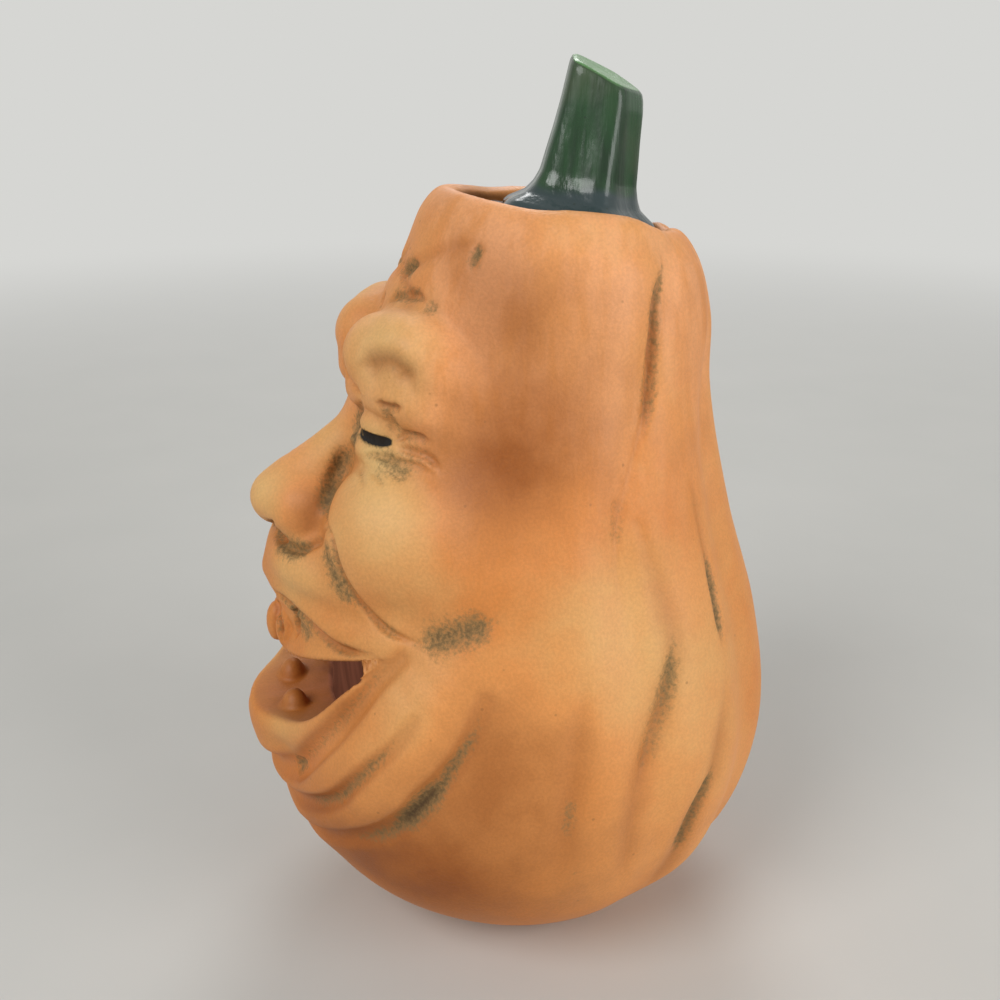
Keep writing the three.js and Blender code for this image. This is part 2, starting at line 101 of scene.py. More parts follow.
# Clay gourd
gourd = {  # the solid part's own sizes
    "foot": 24.0, "belly": 57.0, "bellyHeight": 53.0, "throat": 45.0, "throatHeight": 111.0,
    "neck": 36.6, "neckHeight": 142.0, "crownHeight": 172.0, "shoulderRise": 2.6,
    "lean": 10.5, "bellyShift": -2.9, "crownShift": 1.7, "sway": 1.4, "wall": 5.0, "floor": 8.0,
    # places on the outline between those, as shares of the way out and the way up
    "flank": [(0.22, 0.11), (0.5, 0.29), (0.81, 0.53)], "waist": 0.72,
    "shoulders": [(0.96, 0.53), (0.855, 0.93)], "crown": 0.72, "rim": 0.52,
    "wallEdge": 1.0, "hollowBlend": 3.0,  # how softly the hollow's edges and its rooms run together
    # the outline's distances are looked up on a grid of this step, radius and heights
    "grid": 0.5, "gridRadius": 110, "gridLow": -20, "gridHigh": 205,
}
lean = math.radians(gourd["lean"])


def smoothStep(x, low, high):
    t = np.clip((x - low) / (high - low), 0, 1)
    return t * t * (3 - 2 * t)


def rise(height):
    return smoothStep(height, gourd["bellyHeight"], gourd["crownHeight"])


def middleShift(height):  # where the middle of the ring at a height lies along Y
    up, way = rise(height), gourd["crownShift"] - gourd["bellyShift"]
    return gourd["bellyShift"] + way * up - gourd["sway"] * np.sin(np.pi * up)


# The half outline as radius and height: a centripetal Catmull-Rom curve from the foot to the rim
def gourdOutline(steps=16):
    g = gourd
    out, top = g["belly"] - g["foot"], g["crownHeight"] - g["neckHeight"]
    stops = [(g["foot"], 0)]
    stops += [(g["foot"] + out * wide, g["bellyHeight"] * tall) for wide, tall in g["flank"]]
    stops += [
        (g["belly"], g["bellyHeight"]),
        (g["throat"] + (g["belly"] - g["throat"]) * g["waist"], (g["bellyHeight"] + g["throatHeight"]) / 2),
        (g["throat"], g["throatHeight"]),
        (g["neck"], g["neckHeight"]),
    ]
    stops += [(g["neck"] * wide, g["neckHeight"] + top * tall) for wide, tall in g["shoulders"]]
    stops += [
        (g["neck"] * g["crown"], g["crownHeight"] + g["shoulderRise"]),
        (g["neck"] * g["rim"], g["crownHeight"]),
    ]
    stops = np.array(stops, float)
    padded = np.vstack([2 * stops[0] - stops[1], stops, 2 * stops[-1] - stops[-2]])
    points = []
    for a, b, c, d in zip(padded, padded[1:], padded[2:], padded[3:]):
        before, here, after = (math.dist(p, q) ** 0.5 for p, q in ((a, b), (b, c), (c, d)))
        leave = ((b - a) / before - (c - a) / (before + here) + (c - b) / here) * here
        reach = ((c - b) / here - (d - b) / (here + after) + (d - c) / after) * here
        for t in np.linspace(0, 1, steps, endpoint=False):
            points.append(b + leave * t + (3 * (c - b) - 2 * leave - reach) * t * t
                          + (leave + reach - 2 * (c - b)) * t ** 3)
    return np.array(points + [stops[-1]])


outlineCurve = gourdOutline()


# Signed distance in a plane to a closed loop of points, negative inside
def loopDistance(places, loop):
    best = np.full(len(places), np.inf)
    inside = np.zeros(len(places), bool)
    for a, b in zip(loop, np.roll(loop, -1, axis=0)):
        side = b - a
        t = np.clip(((places - a) @ side) / (side @ side), 0, 1)
        best = np.minimum(best, np.hypot(*(places - a - t[:, None] * side).T))
        if a[1] != b[1]:
            level = (a[1] > places[:, 1]) != (b[1] > places[:, 1])
            inside ^= level & (places[:, 0] < a[0] + (places[:, 1] - a[1]) / (b[1] - a[1]) * side[0])
    return np.where(inside, -best, best)


# The outline's distance on a grid of radius and height
def outlineGrid():
    radii = np.arange(0, gourd["gridRadius"], gourd["grid"])
    heights = np.arange(gourd["gridLow"], gourd["gridHigh"], gourd["grid"])
    places = np.stack(np.meshgrid(radii, heights, indexing="ij"), -1).reshape(-1, 2)
    loop = np.vstack([[0, 0], outlineCurve, [0, outlineCurve[-1][1]]])
    return loopDistance(places, loop).reshape(len(radii), len(heights))


outlineTable = outlineGrid()


def outlineDistance(radius, height):
    u = np.clip(radius / gourd["grid"], 0, outlineTable.shape[0] - 1.001)
    v = np.clip((height - gourd["gridLow"]) / gourd["grid"], 0, outlineTable.shape[1] - 1.001)
    i, j = u.astype(int), v.astype(int)
    u, v = u - i, v - j
    low = outlineTable[i, j] * (1 - u) + outlineTable[i + 1, j] * u
    high = outlineTable[i, j + 1] * (1 - u) + outlineTable[i + 1, j + 1] * u
    return low * (1 - v) + high * v


climb = outlineCurve[: np.argmax(outlineCurve[:, 1]) + 1]  # the outline as far as it rises


def skinRadius(height):
    return np.interp(height, climb[:, 1], climb[:, 0])


# Angle from the face, distance from the leaning middle line, and height along it
def gourdPlace(p):
    height = p[:, 2]
    for _ in range(3):
        tilt = lean * rise(height)
        along = (p[:, 1] - middleShift(height)) / np.cos(tilt)
        height = p[:, 2] + along * np.sin(tilt)
    return np.degrees(np.arctan2(p[:, 0], -along)), np.hypot(p[:, 0], along), height


# Grooves between the ribs as stops of height and angle, with their depth and their half width in degrees
ribs = {
    "depth": 1.8, "width": 7.0,
    "footFade": (4, 30), "crownFade": 0.5,  # heights where they come in, and how much they lose at the crown
    "paths": [
        [(20, 108), (67, 103), (111, 97), (148, 108), (170, 121)],
        [(10, 134), (60, 138), (93, 139), (130, 141), (168, 158)],
        [(10, 180), (168, 180)],
    ],
}


def ribDepth(angle, height):
    fade = smoothStep(height, *ribs["footFade"]) * (1 - rise(height) ** 6 * ribs["crownFade"])
    deepest = np.zeros(len(angle))
    for path in ribs["paths"]:
        heights, angles = zip(*path)
        away = (np.abs(angle) - np.interp(height, heights, angles)) / ribs["width"]
        deepest = np.maximum(deepest, ribs["depth"] * np.exp(-away * away))
    return deepest * fade


# Lumps and rolls of clay laid on the gourd. A stop is (angle from the face, height, out from the skin, size):
# a roll's size is its radius, a lump's is half width, half depth and half height.
forms = {
    "mask": {"stops": [(0, 128, -23.5, (31, 29, 31))], "blend": 12},
    "forehead": {"stops": [(0, 152, -24, (24, 25, 15))], "blend": 10},
    "jaw": {"stops": [(0, 66, -19, (42, 27, 34))], "blend": 12},
    "paunch": {"stops": [(0, 42, -43.5, (50, 50, 40))], "blend": 14},
    "shoulder": {"pair": True, "blend": 3,
        "stops": [(50, 170.5, -5, 3), (78, 172.2, -4.6, 4.3), (104, 171.6, -4.6, 3.8), (120, 170, -5, 2.6)]},
    "cheek": {"pair": True, "hollow": True, "blend": 2.5,
        "stops": [(28, 106, -7, (18.5, 18.5, 19.5))]},
    "cheekBack": {"pair": True, "stops": [(52, 104, -16, (17, 18, 18))], "blend": 12},
    "brow": {"pair": True, "blend": 3,
        "stops": [(15, 146, 5.6, 9.2), (30, 147, 3.6, 9.2), (44, 140, -2.2, 8)]},
    "hood": {"pair": True, "blend": 2,
        "stops": [(13, 139.4, 6.6, 6), (25, 140.2, 6.2, 6.6), (36, 138, 3, 6.6), (46, 133, -1.4, 5.6)]},
    "eyelid": {"pair": True, "stops": [(21, 132.6, 4.6, (6.4, 5, 4.8))], "blend": 1},
    "lowerLid": {"pair": True, "blend": 2,
        "stops": [(13, 126.6, 5.4, 3), (26, 125, 3.6, 3.2), (36, 126, 1.4, 3), (46, 129, -1, 2.4)]},
    "nose": {"blend": 3,
        "stops": [(0, 138, -1, 5.2), (0, 127, 3, 5.8), (0, 120, 8, 6.4), (0, 114.5, 12.6, 7.4)]},
    "noseTip": {"stops": [(0, 111.5, 15.6, (8.6, 8.4, 7))], "blend": 3},
    "nostril": {"pair": True, "stops": [(7.6, 110, 9.4, (6.4, 9.4, 7.6))], "blend": 4},
    "muzzle": {"stops": [(0, 98, -2.4, (24, 19, 10.5))], "blend": 3},
    "lipSlope": {"pair": True, "blend": 5,
        "stops": [(8, 99, 6, 7), (24, 95.5, 0.6, 6.6), (38, 91, -2.6, 5)]},
    "upperLip": {"pair": True, "blend": 3.5,
        "stops": [(0, 93.6, 12.8, 3.4), (9, 91.6, 10, 3.4), (20, 89.3, 5.8, 3.2), (30, 88.4, 3, 3),
                  (40, 88.4, 0.8, 2.6)]},
    "gum": {"pair": True, "blend": 1,
        "stops": [(0, 86, 7, 4.4), (10, 85.6, 4.8, 4.4), (20, 85, 1.2, 4.2), (30, 86, -0.8, 3.5),
                  (37, 87, -1.8, 2.6)]},
    "middleTooth": {"stops": [(0, 79.2, 9.8, (3.3, 2.8, 5.4))], "blend": 0.8},
    "sideTooth": {"pair": True, "stops": [(5.8, 80.4, 8.2, (3.4, 2.8, 5.2))], "blend": 0.8},
    "jowl": {"pair": True, "blend": 8,
        "stops": [(62, 86, -9, 9), (50, 72, -5.4, 11.5), (38, 57, -3.6, 12.5), (22, 45, -3, 12.5),
                  (0, 39, -3, 12.5)]},
    "lowerLip": {"pair": True, "blend": 2.5,
        "stops": [(0, 57.5, 10, 4.8), (7, 58, 9.2, 4.6), (18, 60.8, 4.8, 4.3), (27, 68, 2.8, 3.8),
                  (34, 76, 1.6, 3.3), (41, 84.6, -0.2, 2.8)]},
    "chin": {"hollow": True, "stops": [(0, 48, -5.5, (20, 19, 13))], "blend": 5},
    "lipFront": {"stops": [(0, 54, 2.5, (14, 12, 11))], "blend": 5},
    "lipGroove": {"pair": True, "cut": True, "blend": 2.5,
        "stops": [(45, 87.5, 3.5, 0.8), (43, 85, 4.2, 1.4), (40.6, 82, 5.2, 1.9), (37.2, 75.8, 7.1, 2.4),
                  (32.3, 68.2, 8.3, 2.8), (26.1, 60.1, 8.5, 3), (19.7, 52.4, 8.8, 3), (10, 46.5, 11.8, 2.4),
                  (0, 45, 14.1, 2.2)]},
    "middleFold": {"pair": True, "cut": True, "blend": 2.2,
        "stops": [(51.5, 77.5, 7.1, 0.7), (48, 71, 8, 1.2), (42.7, 64, 9, 1.6), (38.8, 58.5, 9.3, 1.8),
                  (35.8, 54.5, 9.4, 2), (30.8, 50, 9.6, 2), (20.2, 43.6, 10.4, 1.8), (10, 39.5, 11.3, 1.6),
                  (0, 38, 12.1, 1.5)]},
    "lowFold": {"pair": True, "cut": True, "blend": 2.6,
        "stops": [(65.5, 82, 2.7, 0.8), (62.4, 72.7, 2.8, 1.4), (58.2, 64.8, 3.3, 1.9),
                  (53.3, 58.5, 4.4, 2.2), (50.2, 53.5, 5, 2.4), (45.3, 48.6, 6.4, 2.4),
                  (38.5, 43.8, 8.1, 2.2), (29.9, 39, 9.8, 2), (15, 33.5, 11.1, 1.6), (0, 31.5, 11.9, 1.4)]},
}
rollSteps = 4  # steps from one stop of a roll to the next
lowerToothForm = {"stops": [(7, 58, 5, (4.2, 3.6, 6.4))], "blend": 0.8}


def facePoint(angle, height, out):
    reach, turn = skinRadius(height) + out, math.radians(angle)
    return np.array([reach * math.sin(turn), float(middleShift(height)) - reach * math.cos(turn), height])


# A smooth path through the given points
def smoothPath(points, steps):
    points = np.array(points)
    padded = np.vstack([2 * points[0] - points[1], points, 2 * points[-1] - points[-2]])
    path = []
    for a, b, c, d in zip(padded, padded[1:], padded[2:], padded[3:]):
        for t in np.linspace(0, 1, steps, endpoint=False):
            path.append(0.5 * (2 * b + (c - a) * t + (2 * a - 5 * b + 4 * c - d) * t ** 2
                               + (3 * b - a - 3 * c + d) * t ** 3))
    return np.array(path + [points[-1]])


def placeForm(form):
    middles = np.array([facePoint(*stop[:3]) for stop in form["stops"]])
    sizes = [stop[3] for stop in form["stops"]]
    if len(sizes) > 2:  # a roll runs smoothly through its stops
        middles = smoothPath(middles, rollSteps)
        sizes = np.interp(np.arange(len(middles)) / rollSteps, np.arange(len(sizes)), sizes)
    reach = max(np.max(size) for size in sizes)
    turn = math.radians(form["stops"][0][0])
    return {**form, "middles": middles, "sizes": sizes, "turn": turn,
            "low": middles.min(axis=0) - reach, "high": middles.max(axis=0) + reach}


# Across and into the clay, for a thing that faces out at an angle
def turned(p, turn):
    across = p[:, 0] * math.cos(turn) + p[:, 1] * math.sin(turn)
    return across, p[:, 1] * math.cos(turn) - p[:, 0] * math.sin(turn)


def ovalDistance(p, half):
    near = np.linalg.norm(p / half, axis=1)
    return near * (near - 1) / np.maximum(np.linalg.norm(p / half ** 2, axis=1), 1e-9)


def lumpDistance(p, form, less=0):
    p = p - form["middles"][0]
    p = np.stack([*turned(p, form["turn"]), p[:, 2]], axis=1)
    return ovalDistance(p, np.array(form["sizes"][0], float) - less)


def rollDistance(p, form):
    best = np.full(len(p), np.inf)
    ends = list(zip(form["middles"], form["sizes"]))
    for (a, startSize), (b, endSize) in zip(ends, ends[1:]):
        side = b - a
        t = np.clip(((p - a) @ side) / (side @ side), 0, 1)
        away = np.linalg.norm(p - a - t[:, None] * side, axis=1)
        best = np.minimum(best, away - startSize - (endSize - startSize) * t)
    return best


def softJoin(one, other, blend):
    mix = np.maximum(blend - np.abs(one - other), 0) / blend
    return np.minimum(one, other) - mix * mix * blend / 4


def softCut(body, cut, blend):
    return -softJoin(-body, cut, blend)


def folded(p):  # the other half of the face is the same, mirrored
    return np.column_stack([np.abs(p[:, 0]), p[:, 1:]])


placedForms = [placeForm(form) for form in forms.values()]
lowerTooth = placeForm(lowerToothForm)
formMargin = 9.0  # beyond this a form is too far off to matter


def within(p, low, high, margin):
    return np.all((p > low - margin) & (p < high + margin), axis=1)


def outsideDistance(p):
    angle, radius, height = gourdPlace(p)
    distance = outlineDistance(radius, height) + ribDepth(angle, height)
    mirrored = folded(p)
    for form in placedForms:
        at = mirrored if form.get("pair") else p
        near = within(at, form["low"], form["high"], formMargin + form["blend"])
        if not near.any():
            continue
        own = rollDistance(at[near], form) if len(form["sizes"]) > 1 else lumpDistance(at[near], form)
        shape = softCut if form.get("cut") else softJoin
        distance[near] = shape(distance[near], own, form["blend"])
    return distance


# What is cut out of the clay. The mouth's edge runs between its corners, its middle above and its middle
# below, and turn is how far up the lower edge bends; ends is how far back the cut goes, edge its rounding.
mouth = {
    "half": 36.5, "corner": 86.0, "top": 74.5, "bottom": 60.0, "turn": 6.0, "ends": 20.5, "edge": 1.2,
    "sideShare": 0.85, "lowShare": 0.55,  # shares of its half width where the lower edge bends
    "nearAcross": 5, "nearDeep": 4, "nearTall": 8,  # clay farther off isn't tried against the cut
}
eye = {"angle": 22.0, "height": 129.8, "length": 11.0, "tall": 2.6, "edge": 0.5, "near": 22.0}
opening = {"pass": 19.9, "ledge": 2.4, "seat": 4.0, "stretch": 1.3, "edge": 0.7, "deep": 15.0, "near": 22}


def curveThrough(controls, steps=14):
    t = np.linspace(0, 1, steps, endpoint=False)[:, None]
    n = len(controls) - 1
    return sum(math.comb(n, i) * (1 - t) ** (n - i) * t ** i * np.array(point, float)
               for i, point in enumerate(controls))


def mouthLoop():
    half, corner, low, turn = (mouth[name] for name in ("half", "corner", "bottom", "turn"))
    side, middle = half * mouth["sideShare"], half * mouth["lowShare"]
    pull = (4 * mouth["top"] - corner) / 3
    return np.vstack([
        curveThrough([(-half, corner), (0, pull), (0, pull), (half, corner)]),
        curveThrough([(half, corner), (side, low + turn), (middle, low), (0, low)]),
        curveThrough([(0, low), (-middle, low), (-side, low + turn), (-half, corner)]),
    ])


mouthEdge = mouthLoop()


def hollowDistance(p):
    angle, radius, height = gourdPlace(p)
    hollow = outlineDistance(radius, height) + gourd["wall"]
    mirrored = folded(p)
    for form in placedForms:
        if form.get("hollow"):
            near = within(mirrored, form["low"], form["high"], 0)
            if near.any():
                room = lumpDistance(mirrored[near], form, gourd["wall"])
                hollow[near] = softJoin(hollow[near], room, gourd["hollowBlend"])
    return np.maximum(hollow, gourd["floor"] - p[:, 2])


def mouthDistance(p):
    return np.maximum(loopDistance(p[:, [0, 2]], mouthEdge), p[:, 1] + mouth["ends"])


def eyeDistance(p):
    p = folded(p) - facePoint(eye["angle"], eye["height"], 0)
    across, deep = turned(p, math.radians(eye["angle"]))
    slit = ovalDistance(np.stack([across, p[:, 2]], axis=1), np.array([eye["length"], eye["tall"]]) / 2)
    return np.maximum(slit, np.abs(deep) - 3 * gourd["wall"])


# The top opening's own frame: along the way that the lid lifts
def inOpening(p):
    p = p - np.array([0, gourd["crownShift"], gourd["crownHeight"]])
    y = p[:, 1] * math.cos(lean) - p[:, 2] * math.sin(lean)
    z = p[:, 1] * math.sin(lean) + p[:, 2] * math.cos(lean)
    return p[:, 0], y, z


def openingDistance(p):
    x, y, z = inOpening(p)
    grow = np.clip(1 + z / opening["seat"], 0, 1) * opening["ledge"]
    halfX = opening["pass"] + grow
    halfY = halfX + opening["stretch"]
    oval = (np.hypot(x / halfX, y / halfY) - 1) * halfX * 0.9  # a little under the true distance
    return np.maximum(oval, -z - opening["deep"])


def clayDistance(p):
    distance = softCut(outsideDistance(p), hollowDistance(p), gourd["wallEdge"])
    mirrored = folded(p)
    nearMouth = p[:, 1] < mouth["nearDeep"] - mouth["ends"]
    nearMouth &= mirrored[:, 0] < mouth["half"] + mouth["nearAcross"]
    nearMouth &= p[:, 2] > mouth["bottom"] - mouth["nearTall"]
    nearMouth &= p[:, 2] < mouth["corner"] + mouth["nearTall"]
    nearEye = np.linalg.norm(mirrored - facePoint(eye["angle"], eye["height"], 0), axis=1) < eye["near"]
    nearTop = p[:, 2] > gourd["crownHeight"] - opening["near"]
    for near, cut, edge in (
        (nearMouth, mouthDistance, mouth["edge"]),
        (nearEye, eyeDistance, eye["edge"]),
        (nearTop, openingDistance, opening["edge"]),
    ):
        if near.any():
            distance[near] = softCut(distance[near], cut(p[near]), edge)
    near = within(mirrored, lowerTooth["low"], lowerTooth["high"], formMargin)
    if near.any():
        own = lumpDistance(mirrored[near], lowerTooth)
        distance[near] = softJoin(distance[near], own, lowerTooth["blend"])
    return np.maximum(distance, -p[:, 2])


# Lines drawn into the clay, wide and deep in millimetres.
# stain is how much dark wash stays in a line, and spread how many times as wide the wash is; near 1 the line
# is painted near-black, a painted shade
brush = {
    "ends": (-0.02, 0.22),  # the shares of its length over which a line comes in and runs out
    "tipWide": 0.35,  # how wide its tips are beside its middle
    "tipDeep": 0.25,
    "reaches": 3,  # so many times its width away, a line does nothing
    "steps": 5,  # steps from one place on a path to the next
}


def line(wide, deep, stain, path, spread=1.4, middle=False):
    return {"wide": wide, "deep": deep, "stain": stain, "path": path, "spread": spread, "middle": middle}


# Each of these passes the given places in the picture and falls on the clay behind them.
# The unseen half of the face mirrors it, and one in the middle keeps to the middle.
strokes = {
    "frown": line(1.3, 2.0, 0.6, [(385, 281), (374, 314), (347, 336), (343, 350)], middle=True),
    "noseRoot": line(0.7, 1.0, 0.15, [(343, 354), (347, 376), (363, 398)]),
    "underBrow": line(2.6, 1.7, 0.16, [(360, 367), (385, 363), (405, 376), (412, 390)]),
    "hoodFold": line(0.9, 1.6, 0.45, [(375, 403), (388, 408), (401, 408)]),
    "lidCorner": line(1.3, 0.8, 0.5, [(381, 407), (389, 418), (396, 436)], spread=1.5),
    "crowsFootHigh": line(0.9, 1.3, 0.5, [(395, 441), (405, 435), (417, 437), (430, 442)]),
    "crowsFootLow": line(1.0, 1.2, 0.35, [(398, 447), (412, 452), (425, 456), (440, 468)]),
    "lidWrinkle": line(0.6, 0.5, 0.2, [(358, 456), (361, 472), (364, 488)]),
    "lidWrinkleShort": line(0.6, 0.4, 0.3, [(372, 471), (378, 479), (383, 486)]),
    "bagLine": line(0.9, 1.0, 0.4, [(362, 457), (378, 455), (396, 461), (416, 466), (432, 474)]),
    "bagSmear": line(1.7, 0.3, 0.5, [(376, 457), (388, 464), (400, 472), (412, 478)]),
    "noseSide": line(1.9, 1.2, 0.9, [(361, 402), (357, 422), (349, 443), (341, 463), (333, 480),
        (327, 502), (327, 530)], spread=1.2),
    "laughLine": line(0.8, 1.4, 0.6, [(327, 520), (332, 542), (342, 575), (359, 602), (377, 622),
        (399, 637), (420, 644)]),
    "laughSmear": line(2.2, 0.2, 0.65, [(324, 536), (331, 566), (342, 590), (356, 607)], spread=1.3),
    "browComma": line(1.6, 1.2, 0.95, [(400, 278), (404, 270), (416, 264)]),
    "browGroove": line(1.6, 0.7, 0.1, [(405, 269), (425, 258), (445, 250), (473, 243)]),
    "crownGroove": line(1.6, 0.9, 0.2, [(386, 279), (398, 261), (407, 243)]),
    "browArc": line(1.0, 1.1, 0.8, [(389, 302), (397, 296), (413, 294), (425, 301)]),
    "browDash": line(1.2, 0.3, 0.5, [(423, 313), (431, 309), (438, 304)]),
    "tick": line(1.0, 0.6, 0.7, [(471, 270), (476, 257), (480, 243)]),
    "noseBase": line(2.0, 0.3, 0.7, [(277, 541), (286, 548), (298, 550), (312, 545)], spread=1.3),
    "nostrilSlit": line(1.3, 2.2, 1.0, [(272, 521), (277, 530), (285, 539)]),
    "lipUnder": line(0.9, 2.0, 0.85, [(270, 589), (283, 600), (301, 617), (327, 641), (345, 651),
        (372, 655)]),
    "gumWash": line(2.0, 0.1, 0.6, [(292, 606), (301, 622), (313, 638)], spread=1.2),
    "toothGap": line(0.8, 2.0, 0.9, [(277, 601), (279, 622), (281, 640)]),
    "toothSide": line(0.8, 1.8, 0.9, [(292, 608), (297, 622), (296, 638)]),
    "mouthCorner": line(1.3, 0.8, 0.7, [(371, 658), (377, 664)]),
    "lipRoll": line(1.2, 0.1, 0.25, [(399, 656), (378, 676), (356, 704), (333, 731), (313, 752),
        (300, 767)]),
    "chinSpot": line(1.5, 0.5, 0.7, [(306, 759), (298, 768)]),
    "innerFold": line(1.1, 0.1, 0.5, [(397, 738), (387, 753), (372, 767), (355, 784), (343, 795),
        (324, 799), (307, 796)]),
    "outerFold": line(1.2, 0.1, 0.6, [(482, 711), (477, 727), (469, 744), (456, 761), (444, 782),
        (431, 795), (416, 809), (402, 824), (380, 835), (351, 837)]),
    "foldSmear": line(2.4, 0.1, 0.75, [(446, 784), (430, 798), (412, 814), (398, 826)], spread=1.2),
    "cheekSmear": line(3.0, 0.7, 0.75, [(416, 645), (432, 641), (450, 637), (472, 630),
        (496, 621)], spread=1.2),
    "wingFold": line(1.0, 1.5, 0.45, [(268, 524), (278, 538), (290, 547), (303, 549), (316, 543),
        (326, 528)]),
}

# Washes in the grooves behind the face, by (angle from the face, height)
washes = {
    "neckWash": line(1.2, 1.0, 0.65, [(119, 170), (110.5, 161), (110, 151), (109.5, 141), (107, 133)]),
    "seam": line(0.8, 0.8, 0.12, [(121, 172), (111, 161), (109, 141), (100, 121), (97, 108), (99, 90)]),
    "waistWash": line(1.2, 0.5, 0.35, [(98, 122), (97, 111)]),
    "ribWash": line(1.5, 0.8, 0.75, [(111.5, 91), (108, 80), (103.6, 69.4), (100.3, 59)]),
    "lowRibWash": line(1.5, 1.3, 0.75, [(122, 57), (116.6, 46), (114.6, 33)]),
    "ribValley": line(3.2, 1.0, 0.03, [(104, 116), (111, 91), (108, 80), (103.6, 69), (100, 59), (98, 42),
        (99, 24)]),
    "flankValley": line(3.0, 1.0, 0.03, [(87, 84), (84, 60), (82.7, 48), (82, 28)]),
    "lowValley": line(3.0, 1.3, 0.03, [(127, 76), (122, 57), (116.6, 46), (114.6, 33), (112, 18)]),
    "flankWash": line(1.0, 0.5, 0.6, [(84, 60), (82.7, 48)]),
    "backWash": line(1.2, 0.5, 0.7, [(128.5, 106), (128.4, 96), (127.6, 85)]),
    "backLine": line(1.4, 1.1, 0.1, [(125.6, 126), (127.6, 114), (128.5, 105), (128.4, 96), (127.6, 82)]),
    "spineWash": line(2.0, 0.5, 0.55, [(180, 150), (180, 128), (178, 110)]),
    "lowSpineWash": line(2.2, 0.5, 0.6, [(180, 70), (179, 48), (180, 28)]),
    "spot": line(1.4, 0.5, 0.7, [(85, 41), (85.5, 38.5)]),
}


# How a line of sight is followed, in millimetres: where it starts and ends, and how it steps
sight = {"start": 120.0, "end": 420.0, "most": 160, "touch": 0.02, "stride": 0.8, "least": 0.05}


# The first clay along a line of sight, or the place where it passes nearest to the clay
def castOnClay(across, down):
    eyePoint, way = sightLine(across, down)
    reach, nearest = sight["start"], (np.inf, None)
    for _ in range(sight["most"]):
        place = eyePoint + way * reach
        gap = float(clayDistance(place[None])[0])
        if gap < nearest[0]:
            nearest = gap, place
        if gap < sight["touch"] or reach > sight["end"]:
            break
        reach += max(gap * sight["stride"], sight["least"])
    return nearest[1]


def onGroove(angle, height):  # a place just under the skin
    reach, turn, tilt = skinRadius(height) - 1, math.radians(angle), lean * float(rise(height))
    along = -reach * math.cos(turn)
    return np.array([reach * math.sin(turn), float(middleShift(height)) + along * math.cos(tilt),
                     height - along * math.sin(tilt)])


# How far each point lies from a path, and how far along the path that is, from 0 to 1
def pathPlace(p, path):
    lengths = [math.dist(a, b) for a, b in zip(path, path[1:])]
    best, along = np.full(len(p), np.inf), np.zeros(len(p))
    walked = 0.0
    for a, b, length in zip(path, path[1:], lengths):
        side = b - a
        t = np.clip(((p - a) @ side) / max(side @ side, 1e-9), 0, 1)
        away = np.linalg.norm(p - a - t[:, None] * side, axis=1)
        nearer = away < best
        best[nearer] = away[nearer]
        along[nearer] = (walked + t[nearer] * length) / sum(lengths)
        walked += length
    return best, along


def drawnStrokes():
    drawn = []
    for stroke in strokes.values():
        path = smoothPath([castOnClay(*place) for place in stroke["path"]], brush["steps"])
        drawn.append({**stroke, "path": folded(path) * [0 if stroke["middle"] else 1, 1, 1]})
    for wash in washes.values():
        path = smoothPath([onGroove(*place) for place in wash["path"]], brush["steps"])
        drawn.append({**wash, "path": path})
    return drawn


def strokeEffect(p, stroke, reach):  # 1 in the middle of a stroke, fading over its sides and ends
    effect = np.zeros(len(p))
    mirrored = folded(p)
    path, tipWide, tipDeep = stroke["path"], brush["tipWide"], brush["tipDeep"]
    near = within(mirrored, path.min(axis=0), path.max(axis=0), brush["reaches"] * reach)
    if near.any():
        away, along = pathPlace(mirrored[near], path)
        ends = smoothStep(along, *brush["ends"]) * smoothStep(1 - along, *brush["ends"])
        wide = reach * (tipWide + (1 - tipWide) * ends)
        effect[near] = np.exp(-(away / wide) ** 2) * (tipDeep + (1 - tipDeep) * ends)
    return effect


def grooveDepth(p, drawn):
    return sum(stroke["deep"] * strokeEffect(p, stroke, stroke["wide"]) for stroke in drawn)


def stainAmount(p, drawn):
    clear = np.ones(len(p))
    for stroke in drawn:
        clear *= 1 - stroke["stain"] * strokeEffect(p, stroke, stroke["wide"] * stroke["spread"])
    return 1 - clear


# Clay shell
shell = {
    "firstVoxel": 1.4, "voxel": 0.68, "draftVoxel": 1.5, "triangles": 194000,
    "probe": 0.3, "leap": 2.0, "leastSlope": 0.3,  # how points are brought on to the clay
    "plugOver": 1.2, "plugSpread": 8.5,  # the cone that fills in the foot
    "deepest": 1.8, "cavityReach": 3.0,
    "slit": (0.15, 0.6), "skin": (3.6, 4.6), "hollow": (0.4, 2.0),  # millimetres over which a mask fades
}


def pointsOf(mesh):
    flat = np.empty(len(mesh.vertices) * 3)
    mesh.vertices.foreach_get("co", flat)
    return flat.reshape(-1, 3) / mm


def setPoints(mesh, p):
    mesh.vertices.foreach_set("co", (p * mm).ravel())
    mesh.update()


def meshOf(work, name):
    mesh = bpy.data.meshes.new(name)
    work.to_mesh(mesh)
    work.free()
    return mesh


def smoothShaded(mesh):
    mesh.polygons.foreach_set("use_smooth", [True] * len(mesh.polygons))
    return mesh


# The mesh as it comes out of one modifier
def modified(mesh, kind, **settings):
    blank = intoScene("clayBlank", mesh)
    modifier = blank.modifiers.new(kind, kind)
    for name, value in settings.items():
        setattr(modifier, name, value)
    result = bpy.data.meshes.new_from_object(blank.evaluated_get(bpy.context.evaluated_depsgraph_get()))
    bpy.data.objects.remove(blank)
    return result


def claySlope(p, distance):
    probe = shell["probe"]
    return np.stack([clayDistance(p + probe * way) - distance for way in np.eye(3)], axis=1) / probe


